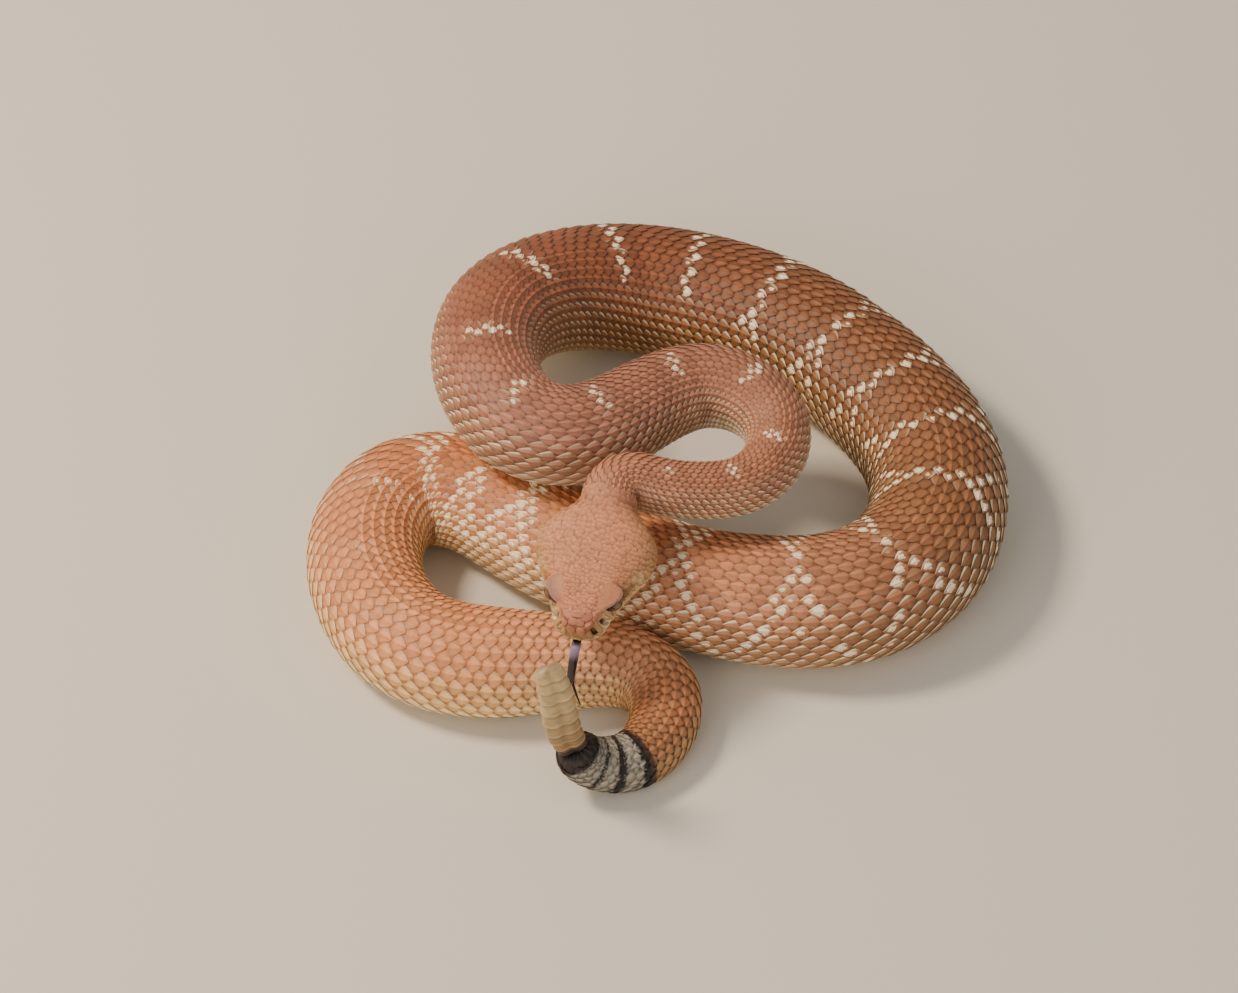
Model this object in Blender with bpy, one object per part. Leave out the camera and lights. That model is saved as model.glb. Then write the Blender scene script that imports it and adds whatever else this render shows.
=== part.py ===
# Red diamond rattlesnake (Crotalus ruber), life size, as a still model.
# The animal lies in a loose coil. The fore body is raised in an S, the head faces -Y, and the rattle stands up.
# Metres, +Z up, resting on z = 0. Small sizes are written in millimetres and turned to metres with MM.
import math

import bmesh
import bpy
from mathutils import Matrix, Vector

MM = 0.001

# The line through the middle of the body, in millimetres, from the head joint to the rattle
ROUTE = (
    (-17, -37, 57), (-15.5, -30.2, 58.9), (-9, -26.5, 58), (1, -28, 55), (13, -27, 52),
    (27, -24, 50), (37, -14, 49), (41, 0, 48), (37, 13, 48), (28, 22, 48), (15, 26, 48),
    (2, 21, 48), (-10, 11, 49), (-20, 3, 50), (-31, -1.5, 51), (-44, 1, 52), (-54.5, 14, 51.5),
    (-60, 37, 47), (-56, 63, 40), (-43, 82, 32), (-26, 93, 25), (-6, 97, 20.5), (15, 93, 19.5),
    (34, 85, 19.5), (52, 74, 19.5), (69, 57, 19.5), (84, 38, 19.5), (94, 16, 19.5), (95, -8, 19.5),
    (86, -30, 19.5), (71, -42, 19.5), (54, -47, 19.5), (37, -46, 19), (20, -43, 19), (3, -37, 18.5),
    (-13, -29.5, 18), (-28, -23, 17.5), (-43, -11, 17), (-55, -0.5, 17), (-66, 6, 16.5), (-78, 8, 16),
    (-88.5, 4, 16), (-96, -6.5, 16), (-99.5, -21, 16), (-98, -37, 16), (-92, -51, 16), (-83, -62, 16),
    (-71, -68, 16), (-56, -70, 15.5), (-41, -69, 14.5), (-26, -68, 14), (-14, -68.5, 13),
    (-5, -71, 11.5), (1, -77.5, 10), (2.5, -87.5, 9), (-1, -98, 8), (-7, -105, 8), (-14, -109, 9),
    (-21, -110.5, 11.5), (-26, -111, 15.5), (-28.5, -111.3, 21),
)

# Distance from the head joint, half width, and height as a share of width
GIRTH = (
    (0, 9.6, 0.95), (25, 9.6, 0.95), (52, 9.9, 0.94), (68, 10.6, 0.94), (82, 11.5, 0.94), (95, 12.8, 0.94),
    (108, 13.9, 0.94), (132, 15.1, 0.94), (162, 16.6, 0.94), (200, 17.7, 0.94), (226, 18.8, 0.93),
    (252, 20.0, 0.91), (278, 21.4, 0.88), (302, 22.8, 0.86), (335, 23.6, 0.84), (420, 23.6, 0.83),
    (500, 23.6, 0.83), (540, 23.2, 0.83), (575, 21.5, 0.84), (610, 21.0, 0.84), (650, 20.9, 0.83),
    (690, 19.8, 0.83), (730, 19.6, 0.83), (785, 19.6, 0.82), (805, 17.9, 0.83), (822, 15.6, 0.86),
    (840, 13.7, 0.88), (855, 12.5, 0.88), (870, 11.1, 0.9), (885, 9.8, 0.94), (898, 8.5, 0.97),
    (910, 7.2, 1.0), (922, 6.2, 1.0),
)

# The lengths that the body is divided into, by the distance at which each ends
LENGTHS = (
    ("neck", 38), ("neck_loop", 133), ("body_1", 213), ("body_2", 302), ("body_3", 405), ("body_4", 545),
    ("body_5", 645), ("body_6", 727), ("body_7", 813), ("body_8", 858), ("tail", None),
)
GAP = 0.3                # left between two pieces that meet
RING_STEP = 5.4
RING_SIDES = 18
BELLY_POWER = 2.6        # an ellipse is 2, and more is squarer

HEAD_LENGTH = 51.0
HEAD_YAW = math.radians(-12.5)
HEAD_PITCH = math.radians(-15)
# Share of the head's length, half width, height above its line, depth below its line
HEAD_STATIONS = (
    (0.0, 9.6, 9.1, 9.1), (0.07, 11.0, 9.2, 9.3), (0.15, 15.0, 9.7, 10.0), (0.24, 18.5, 10.1, 10.6),
    (0.33, 20.1, 10.2, 10.8), (0.43, 19.8, 10.1, 10.5), (0.53, 17.8, 9.9, 9.8), (0.63, 15.0, 9.6, 8.9),
    (0.73, 12.4, 9.3, 8.1), (0.82, 10.4, 8.7, 7.4), (0.90, 8.9, 7.8, 6.7), (0.96, 7.4, 6.6, 6.0),
    (0.99, 5.9, 5.4, 5.0), (1.0, 4.0, 4.0, 4.0),
)
HEAD_SIDES = 22
HEAD_POWER = 2.5
# Share of the head's length and height of the line of the mouth
MOUTH = ((0.16, -3.6), (0.3, -4.6), (0.45, -3.4), (0.6, -2.2), (0.75, -2.2), (0.9, -2.8), (1.0, -3.0), (1.2, -3.0))
EYE_AT = (0.735, 10.2, 4.6)
EYE_RADIUS = 3.0
BROW_AT = (0.735, 8.6, 7.7)
BROW_HALF = (6.0, 3.7, 1.6)
NOSTRIL_AT = (0.955, 6.9, 2.2)
PIT_AT = (0.86, 9.3, 0.9)

RATTLE_TIP = (-36.5, -113, 63)
RATTLE_SEGMENTS = 9
RATTLE_SIDES = 16
RATTLE_DEPTH = (5.4, 6.2, 5.0)    # half depth at the tail, the middle and the tip
RATTLE_THICKNESS = 0.62

TONGUE_AT = (0.975, 0, -3.4)
NOTCH_HALF = (4.6, 1.9, 1.3)
TONGUE_DROP = 17.0
TONGUE_WIDTH = 2.6
FORK_LENGTH = 9.0


def material(name, color, roughness):
    made = bpy.data.materials.new(name)
    made.use_nodes = True
    shader = made.node_tree.nodes["Principled BSDF"]
    shader.inputs["Base Color"].default_value = (*color, 1)
    shader.inputs["Roughness"].default_value = roughness
    shader.inputs["Metallic"].default_value = 0
    return made


def smooth_row(rows, at):
    """The values at one place, on a smooth curve through rows whose first number is the place."""
    at = min(max(at, rows[0][0]), rows[-1][0])
    i = max(k for k in range(len(rows) - 1) if rows[k][0] <= at)
    before, low, high, after = rows[max(i - 1, 0)], rows[i], rows[i + 1], rows[min(i + 2, len(rows) - 1)]
    span = high[0] - low[0]
    t = (at - low[0]) / span
    values = []
    for k in range(1, len(low)):
        slope_low = (high[k] - before[k]) / (high[0] - before[0]) * span
        slope_high = (after[k] - low[k]) / (after[0] - low[0]) * span
        values.append(
            low[k] * (2 * t**3 - 3 * t**2 + 1) + high[k] * (3 * t**2 - 2 * t**3)
            + slope_low * (t**3 - 2 * t**2 + t) + slope_high * (t**3 - t**2)
        )
    return values


def spline(points, steps):
    """A cubic B-spline near the points, which starts at the first and ends at the last."""
    points = [Vector(p) for p in points]
    points = [2 * points[0] - points[1], *points, 2 * points[-1] - points[-2]]
    line = []
    for a, b, c, d in zip(points, points[1:], points[2:], points[3:]):
        for k in range(steps):
            t = k / steps
            line.append(
                (a * (1 - t) ** 3 + b * (3 * t**3 - 6 * t**2 + 4) + c * (3 * t + 3 * t**2 - 3 * t**3 + 1) + d * t**3) / 6
            )
    line.append((points[-3] + 4 * points[-2] + points[-1]) / 6)
    return line


class Spine:
    """The body's middle line, measured along its length in millimetres."""

    def __init__(self, points):
        self.line = spline(points, 16)
        self.reach = [0.0]
        for a, b in zip(self.line, self.line[1:]):
            self.reach.append(self.reach[-1] + (b - a).length)
        self.length = self.reach[-1]

    def place(self, at):
        i = max(k for k in range(len(self.reach) - 1) if k == 0 or self.reach[k] <= at)
        share = (at - self.reach[i]) / (self.reach[i + 1] - self.reach[i])
        return self.line[i].lerp(self.line[i + 1], share)

    def axes(self, at):
        """The place and the animal's right side, back and tailward directions."""
        half = min(2, max(at, 0.4))
        along = (self.place(min(at + half, self.length)) - self.place(max(at - half, 0))).normalized()
        right = Vector((0, 0, 1)).cross(along).normalized()
        return self.place(at), right, along.cross(right), along


def loft(name, rings, finish):
    """A closed mesh through rings of points in millimetres, with its ends filled."""
    shape = bmesh.new()
    rows = [[shape.verts.new(point * MM) for point in ring] for ring in rings]
    sides = len(rings[0])
    for low, high in zip(rows, rows[1:]):
        for k in range(sides):
            shape.faces.new((low[k], low[(k + 1) % sides], high[(k + 1) % sides], high[k]))
    shape.faces.new(rows[0][::-1])
    shape.faces.new(rows[-1])
    bmesh.ops.recalc_face_normals(shape, faces=shape.faces)
    mesh = bpy.data.meshes.new(name)
    shape.to_mesh(mesh)
    shape.free()
    made = bpy.data.objects.new(name, mesh)
    mesh.materials.append(finish)
    bpy.context.scene.collection.objects.link(made)
    return made


def rounded(angle, power):
    """A point on a squared ellipse of half size 1."""
    c, s = math.cos(angle), math.sin(angle)
    return math.copysign(abs(c) ** (2 / power), c), math.copysign(abs(s) ** (2 / power), s)


def body_ring(spine, at):
    place, right, back, _ = spine.axes(at)
    half_width, share = smooth_row(GIRTH, at)
    ring = []
    for k in range(RING_SIDES):
        angle = 2 * math.pi * k / RING_SIDES
        across, rise = rounded(angle, BELLY_POWER if math.sin(angle) < 0 else 2)
        point = place + right * (across * half_width) + back * (rise * half_width * share)
        point.z = max(point.z, 0)
        ring.append(point)
    return ring


def body_lengths(spine, finish):
    start = GAP / 2
    for name, end in LENGTHS:
        end = spine.length if end is None else end
        first, last = start + GAP / 2, end - GAP / 2
        count = max(2, round((last - first) / RING_STEP))
        rings = [body_ring(spine, first + (last - first) * k / count) for k in range(count + 1)]
        loft(name, rings, finish)
        start = end


def ball(name, place, half, finish, turned, sides=14):
    """A closed ellipsoid, with its place and half sizes in millimetres of the frame that turned gives."""
    bpy.ops.mesh.primitive_uv_sphere_add(segments=sides, ring_count=sides // 2 + 1, radius=1)
    made = bpy.context.object
    made.name = name
    made.data.transform(turned @ Matrix.Translation(Vector(place) * MM) @ Matrix.Diagonal((*[h * MM for h in half], 1)))
    made.data.materials.append(finish)
    return made


def combine(target, others, operation):
    """Joins the others to the target or cuts them from it, and keeps the largest closed surface."""
    group = bpy.data.collections.new("pieces")
    bpy.context.scene.collection.children.link(group)
    for other in others:
        for home in other.users_collection:
            home.objects.unlink(other)
        group.objects.link(other)
    step = target.modifiers.new(operation.lower(), "BOOLEAN")
    step.operand_type = "COLLECTION"
    step.collection = group
    step.operation = operation
    step.solver = "EXACT"
    bpy.context.view_layer.objects.active = target
    bpy.ops.object.modifier_apply(modifier=step.name)
    for other in others:
        bpy.data.objects.remove(other, do_unlink=True)
    bpy.data.collections.remove(group)
    shape = bmesh.new()
    shape.from_mesh(target.data)
    left = set(shape.verts)
    largest = set()
    while left:
        found = {left.pop()}
        edge = list(found)
        while edge:
            near = {e.other_vert(v) for v in edge for e in v.link_edges} - found
            found |= near
            edge = list(near)
        left -= found
        if len(found) > len(largest):
            largest = found
    bmesh.ops.delete(shape, geom=[v for v in shape.verts if v not in largest], context="VERTS")
    shape.to_mesh(target.data)
    shape.free()


def head_frame(spine):
    """Turns head places, +X ahead, +Y to the animal's left and +Z up, into the world."""
    base = spine.place(0)
    turn = Matrix.Rotation(HEAD_YAW - math.pi / 2, 4, "Z") @ Matrix.Rotation(-HEAD_PITCH, 4, "Y")
    return Matrix.Translation(base * MM) @ turn


def head_shell(name, turned, finish):
    rings = []
    for k in range(21):
        share = 1 - (1 - k / 20) ** 1.35
        half_width, above, below = smooth_row(HEAD_STATIONS, share)
        ring = []
        for j in range(HEAD_SIDES):
            across, rise = rounded(2 * math.pi * j / HEAD_SIDES, HEAD_POWER)
            height = rise * (above if rise > 0 else below)
            ring.append(Vector((share * HEAD_LENGTH, across * half_width, height)))
        rings.append(ring)
    made = loft(name, rings, finish)
    made.data.transform(turned)
    return made


def jaw_block(turned, finish, inset):
    """What lies under the line of the mouth, as a block wider than the head."""
    side = [Vector((share * HEAD_LENGTH + inset * 2, 0, height - inset)) for share, height in MOUTH]
    side.append(Vector((1.2 * HEAD_LENGTH, 0, -30)))
    side.append(Vector((MOUTH[0][0] * HEAD_LENGTH + 4 + inset * 2, 0, -30)))
    rings = [[point + Vector((0, across, 0)) for point in side] for across in (-40, 40)]
    made = loft("jaw_block", rings, finish)
    made.data.transform(turned)
    return made


def notch(turned, finish):
    """The room between the lips that the tongue passes through."""
    share, across, rise = TONGUE_AT
    return ball("notch", ((share + 0.03) * HEAD_LENGTH, across, rise + 0.1), NOTCH_HALF, finish, turned)


def head(turned, skin, dark, eye):
    upper = head_shell("head", turned, skin)
    lower = head_shell("lower_jaw", turned, skin)
    combine(lower, [jaw_block(turned, skin, GAP)], "INTERSECT")
    combine(lower, [notch(turned, dark)], "DIFFERENCE")
    brows = []
    for side in (-1, 1):
        share, across, rise = BROW_AT
        brows.append(ball("brow", (share * HEAD_LENGTH, side * across, rise), BROW_HALF, skin, turned))
    combine(upper, brows, "UNION")
    cuts = [jaw_block(turned, skin, 0), notch(turned, dark)]
    for side, name in ((1, "eye_left"), (-1, "eye_right")):
        share, across, rise = EYE_AT
        at = (share * HEAD_LENGTH, side * across, rise)
        ball(name, at, [EYE_RADIUS] * 3, eye, turned)
        cuts.append(ball("socket", at, [EYE_RADIUS + GAP] * 3, dark, turned))
        share, across, rise = NOSTRIL_AT
        cuts.append(ball("nostril", (share * HEAD_LENGTH, side * across, rise), (0.9, 1.2, 0.8), dark, turned, 8))
        share, across, rise = PIT_AT
        cuts.append(ball("pit", (share * HEAD_LENGTH, side * across, rise), (1.3, 1.6, 1.1), dark, turned, 8))
    combine(upper, cuts, "DIFFERENCE")


def tongue(turned, finish):
    """A flat strip from the lip notch that hangs down and forks into two thin tips."""
    share, across, rise = TONGUE_AT
    start = turned @ (Vector((share * HEAD_LENGTH, across, rise)) * MM) / MM
    ahead = turned.to_3x3() @ Vector((1, 0, 0))
    ahead.z = 0
    ahead.normalize()
    right = ahead.cross(Vector((0, 0, 1)))

    def strip(name, points, widths):
        line = spline(points, 3)
        rings = []
        for k, point in enumerate(line):
            along = (line[min(k + 1, len(line) - 1)] - line[max(k - 1, 0)]).normalized()
            face = along.cross(right).normalized()
            share = k / (len(line) - 1)
            half = smooth_row(widths, share)[0] / 2
            ring = []
            for j in range(6):
                angle = 2 * math.pi * j / 6
                ring.append(point + right * (half * math.cos(angle)) + face * (min(half, 0.6) * math.sin(angle)))
            rings.append(ring)
        return loft(name, rings, finish)

    low = start + ahead * 3.6 + right * 1.6 - Vector((0, 0, TONGUE_DROP))
    stem = [start + ahead * 0.8, start + ahead * 2.6 - Vector((0, 0, 1.2)),
            start + ahead * 3.2 + right * 0.4 - Vector((0, 0, 5)),
            start + ahead * 3.5 + right * 1 - Vector((0, 0, 11)), low]
    made = strip("tongue", stem, ((0, TONGUE_WIDTH), (0.5, TONGUE_WIDTH), (1, TONGUE_WIDTH * 0.8)))
    tips = []
    for side in (-1, 1):
        fork = [low + Vector((0, 0, 2.5)) + right * (side * 0.5), low - Vector((0, 0, 1)) + right * (side * 0.9),
                low - Vector((0, 0, FORK_LENGTH * 0.6)) + right * (side * 2.2) + ahead * 0.6,
                low - Vector((0, 0, FORK_LENGTH)) + right * (side * 3.8) + ahead * 1.5]
        tips.append(strip("tip", fork, ((0, 1.2), (0.5, 0.9), (1, 0.5))))
    combine(made, tips, "UNION")


def rattle(spine, finish):
    """A stack of horny rings: each bulges at its lower rim and narrows to the next."""
    base, _, _, along = spine.axes(spine.length)
    base = base + along * GAP
    tip = Vector(RATTLE_TIP)
    length = (tip - base).length
    line = spline([base, base + along * (length * 0.2), tip - (tip - base) * 0.35, tip], 12)
    # Share of one segment's length, and size as a share of the rattle's full section there
    segment = ((0.0, 0.78), (0.14, 1.0), (0.5, 0.97), (0.85, 0.82))
    rings = []
    stops = [(number + share, size) for number in range(RATTLE_SEGMENTS) for share, size in segment]
    stops.append((RATTLE_SEGMENTS - 0.02, 0.45))
    depths = ((0, RATTLE_DEPTH[0]), (0.45, RATTLE_DEPTH[1]), (1, RATTLE_DEPTH[2]))
    for stop, size in stops:
        share = stop / RATTLE_SEGMENTS
        at = share * (len(line) - 1)
        low = min(int(at), len(line) - 2)
        place = line[low].lerp(line[low + 1], at - low)
        along = (line[low + 1] - line[low]).normalized()
        side = Vector((0, 0, 1)).cross(along).normalized()
        back = along.cross(side)
        depth = smooth_row(depths, share)[0] * size
        ring = []
        for j in range(RATTLE_SIDES):
            across, rise = rounded(2 * math.pi * j / RATTLE_SIDES, 2.2)
            groove = 1 - 0.22 * math.exp(-((rise / 0.3) ** 2))
            ring.append(place + side * (across * groove * depth * RATTLE_THICKNESS) + back * (rise * depth))
        rings.append(ring)
    loft("rattle", rings, finish)


def main():
    for old in list(bpy.data.objects):
        bpy.data.objects.remove(old, do_unlink=True)
    skin = material("brick_red_skin", (0.33, 0.13, 0.075), 0.6)
    horn = material("rattle_horn", (0.36, 0.27, 0.16), 0.5)
    dark = material("dark_hollow", (0.05, 0.03, 0.025), 0.7)
    eye = material("eye", (0.12, 0.07, 0.03), 0.2)
    flesh = material("black_tongue", (0.02, 0.015, 0.02), 0.4)
    spine = Spine(ROUTE)
    print("length of the body's line in mm", round(spine.length, 1))
    body_lengths(spine, skin)
    turned = head_frame(spine)
    head(turned, skin, dark, eye)
    tongue(turned, flesh)
    rattle(spine, horn)


main()
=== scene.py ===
import math

import bpy
import numpy as np
from mathutils import Matrix, Vector
from mathutils.bvhtree import BVHTree


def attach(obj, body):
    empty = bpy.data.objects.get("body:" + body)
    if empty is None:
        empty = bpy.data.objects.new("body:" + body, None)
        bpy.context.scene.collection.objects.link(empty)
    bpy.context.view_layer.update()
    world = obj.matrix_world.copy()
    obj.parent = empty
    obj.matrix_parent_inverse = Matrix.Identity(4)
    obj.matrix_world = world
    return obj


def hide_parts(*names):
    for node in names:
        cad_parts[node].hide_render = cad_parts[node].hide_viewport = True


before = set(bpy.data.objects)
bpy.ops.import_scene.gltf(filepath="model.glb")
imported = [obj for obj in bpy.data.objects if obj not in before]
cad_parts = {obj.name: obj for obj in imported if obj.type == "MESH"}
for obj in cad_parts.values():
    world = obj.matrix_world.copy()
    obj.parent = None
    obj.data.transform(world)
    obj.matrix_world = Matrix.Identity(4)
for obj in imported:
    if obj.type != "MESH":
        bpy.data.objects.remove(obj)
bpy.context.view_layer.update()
bpy.ops.object.select_all(action="DESELECT")
mm = 0.001
rng = np.random.default_rng(11)


# Colours are sRGB hex; nodes and attributes take them linear
def linear(hexText):
    parts = [int(hexText[k : k + 2], 16) / 255 for k in (1, 3, 5)]
    return np.array([p / 12.92 if p <= 0.04045 else ((p + 0.055) / 1.055) ** 2.4 for p in parts])


def smoothStep(x, low, high):
    t = np.clip((x - low) / (high - low), 0, 1)
    return t * t * (3 - 2 * t)


def blend(a, b, share):
    share = np.asarray(share)[..., None]
    return a * (1 - share) + b * share


# Values between rows whose first number is the place, on one smooth curve
def smoothRows(rows, at):
    rows = np.array(rows, float)
    x, y = rows[:, 0], rows[:, 1:]
    at = np.clip(at, x[0], x[-1])
    i = np.clip(np.searchsorted(x, at, side="right") - 1, 0, len(x) - 2)
    before, after = np.maximum(i - 1, 0), np.minimum(i + 2, len(x) - 1)
    span = (x[i + 1] - x[i])[:, None]
    t = ((at - x[i]) / (x[i + 1] - x[i]))[:, None]
    slopeLow = (y[i + 1] - y[before]) / (x[i + 1] - x[before])[:, None] * span
    slopeHigh = (y[after] - y[i]) / (x[after] - x[i])[:, None] * span
    return (
        y[i] * (2 * t**3 - 3 * t**2 + 1)
        + y[i + 1] * (3 * t**2 - 2 * t**3)
        + slopeLow * (t**3 - 2 * t**2 + t)
        + slopeHigh * (t**3 - t**2)
    )


# A cubic B-spline near the points, from the first to the last
def spline(points, steps):
    points = np.array(points, float)
    points = np.vstack([2 * points[0] - points[1], points, 2 * points[-1] - points[-2]])
    t = (np.arange(steps) / steps)[None, :, None]
    a, b, c, d = (points[k : len(points) - 3 + k, None] for k in range(4))
    line = a * (1 - t) ** 3 + b * (3 * t**3 - 6 * t**2 + 4)
    line = (line + c * (3 * t + 3 * t**2 - 3 * t**3 + 1) + d * t**3) / 6
    last = (points[-3] + 4 * points[-2] + points[-1]) / 6
    return np.vstack([line.reshape(-1, 3), last])


def unit(vectors):
    return vectors / np.maximum(np.linalg.norm(vectors, axis=-1, keepdims=True), 1e-9)


# Scene: pale floor, soft light, and the camera where the photograph was taken from
stageSizes = {
    "floor": 12.0,
    "floorColour": "#D9D3C8",
    "roomColour": "#F4F0E8",
    "roomLight": 0.48,
    "aim": (-0.0135, 0.017, 0.0),
    "distance": 2.41,
    "elevation": 48,
    "metresPerPixel": 0.00034,
    "imageWidth": 1238,
    "sensor": 36,
}


def makeCamera():
    elevation = math.radians(stageSizes["elevation"])
    distance = stageSizes["distance"]
    away = Vector((0, -math.cos(elevation), math.sin(elevation))) * distance
    place = Vector(stageSizes["aim"]) + away
    bpy.ops.object.camera_add(location=place, rotation=(math.pi / 2 - elevation, 0, 0))
    camera = bpy.context.object
    camera.name = "viewCamera"
    camera.data.sensor_width = stageSizes["sensor"]
    viewWidth = stageSizes["imageWidth"] * stageSizes["metresPerPixel"]
    camera.data.lens = stageSizes["sensor"] * distance / viewWidth
    camera.data.clip_start = 0.05
    bpy.context.scene.camera = camera


lampSizes = (  # name, place, size, power, colour
    ("keyLamp", (-0.95, 0.2, 1.25), 0.34, 25.0, "#FFEBD2"),
    ("fillLamp", (1.0, -0.9, 1.1), 1.3, 3.0, "#F2F1F4"),
    ("frontLamp", (-0.8, -1.2, 0.8), 1.0, 10.5, "#FFEEDC"),
)


def makeLamps():
    for name, place, size, power, colour in lampSizes:
        bpy.ops.object.light_add(type="AREA", location=place)
        lamp = bpy.context.object
        lamp.name = name
        lamp.data.size = size
        lamp.data.energy = power
        lamp.data.color = linear(colour)
        lamp.rotation_euler = (-Vector(place)).to_track_quat("-Z", "Y").to_euler()
    world = bpy.data.worlds.new("softRoom")
    world.use_nodes = True
    room = world.node_tree.nodes["Background"]
    room.inputs["Color"].default_value = (*linear(stageSizes["roomColour"]), 1)
    room.inputs["Strength"].default_value = stageSizes["roomLight"]
    bpy.context.scene.world = world


# One node with its settings, and what each of its sockets takes: a value, or another node or its output
def addNode(tree, kind, settings=None, takes=None):
    node = tree.nodes.new("ShaderNode" + kind)
    for key, value in (settings or {}).items():
        setattr(node, key, value)
    for key, value in (takes or {}).items():
        if isinstance(value, bpy.types.Node):
            value = value.outputs[0]
        if isinstance(value, bpy.types.NodeSocket):
            tree.links.new(value, node.inputs[key])
        else:
            node.inputs[key].default_value = value
    return node


def startMaterial(name, values):
    made = bpy.data.materials.new(name)
    made.use_nodes = True
    shader = made.node_tree.nodes["Principled BSDF"]
    for key, value in values.items():
        shader.inputs[key].default_value = value
    return made, made.node_tree, shader


def makeFloor():
    bpy.ops.mesh.primitive_plane_add(size=stageSizes["floor"], location=(0, 0, 0))
    floor = bpy.context.object
    floor.name = "studioFloor"
    colour = (*linear(stageSizes["floorColour"]), 1)
    values = {"Base Color": colour, "Roughness": 0.9, "Specular IOR Level": 0.2}
    made, _, _ = startMaterial("mattePlaster", values)
    floor.data.materials.append(made)


makeCamera()
makeLamps()
makeFloor()
print("stage made")


# The snake's shape. Lengths along the body run from the head joint, with the head at minus values.
bodyShape = {
    "route": (
        (-17, -37, 57), (-15.5, -30.2, 58.5), (-9, -26.5, 58), (1, -28, 55), (13, -27, 52),
        (27, -24, 50), (37, -14, 49), (41, 0, 48), (37, 13, 48), (28, 22, 48), (15, 26, 48),
        (2, 21, 48), (-10, 11, 49), (-20, 3, 50), (-31, -1.5, 51), (-44, 1, 51.7), (-54.5, 14, 51.2),
        (-60, 37, 47), (-56, 63, 40), (-43, 82, 32), (-26, 93, 25), (-6, 97, 20.5), (15, 93, 19.5),
        (34, 85, 19.5), (52, 74, 19.5), (69, 57, 19.5), (84, 38, 19.5), (94, 16, 19.5), (95, -8, 19.5),
        (86, -30, 19.5), (71, -42, 19.5), (54, -47, 19.5), (37, -46, 19), (20, -43, 19), (3, -37, 18.5),
        (-13, -29.5, 18), (-28, -23, 17.5), (-43, -11, 17), (-55, -0.5, 17), (-66, 6, 16.5), (-78, 8, 16),
        (-88.5, 4, 16), (-96, -6.5, 16), (-99.5, -21, 16), (-98, -37, 16), (-92, -51, 16), (-83, -62, 16),
        (-71, -68, 16), (-56, -70, 15.5), (-41, -69, 14.5), (-26, -68, 14), (-14, -68.5, 13),
        (-5, -71, 11.5), (1, -77.5, 10), (2.5, -87.5, 9), (-1, -98, 8), (-7, -105, 8), (-14, -109, 9),
        (-21, -110.5, 11.5), (-26, -111, 15.5), (-28.5, -111.3, 21),
    ),
    "girth": (  # distance, half width, height as a share of it
        (0, 9.6, 0.95), (25, 9.6, 0.95), (52, 9.9, 0.94), (68, 10.6, 0.94), (82, 11.5, 0.94),
        (95, 12.8, 0.94), (108, 13.9, 0.94), (132, 15.1, 0.94), (162, 16.6, 0.94), (200, 17.7, 0.94),
        (226, 18.8, 0.93), (252, 20.0, 0.91), (278, 21.4, 0.88), (302, 22.8, 0.86), (335, 23.6, 0.84),
        (420, 23.6, 0.83), (500, 23.6, 0.83), (540, 23.2, 0.83), (575, 21.5, 0.84), (610, 21.0, 0.84),
        (650, 20.9, 0.83), (690, 19.8, 0.83), (730, 19.6, 0.83), (785, 19.6, 0.82), (805, 17.9, 0.83),
        (822, 15.6, 0.86), (840, 13.7, 0.88), (855, 12.5, 0.88), (870, 11.1, 0.9), (885, 9.8, 0.94),
        (898, 8.5, 0.97), (910, 7.2, 1.0), (922, 6.2, 1.0),
    ),
    "backPower": 2.0,
    "bellyPower": 2.6,
    "step": 0.25,
    "skinDepth": 0.56,  # how far the skin lies inside the solids, where the scales' tips reach
    "directionOver": 2.0,  # the body's direction at a place is taken over this length each way
    "neckTurn": (0, 4),  # where the head's direction turns to the body's
    "neckSection": (-2, 10),  # ahead of the joint, where the body's round section turns to the head's
    "arcHeight": 0.86,  # height of the section, to its half width, by which the way round it is measured
    "tailRound": (3.2, 3.4),  # before the last point, where the tail's end starts to close, and how far
    "endGap": 0.05,  # the skin and its scales end this far before the line does
}
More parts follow.
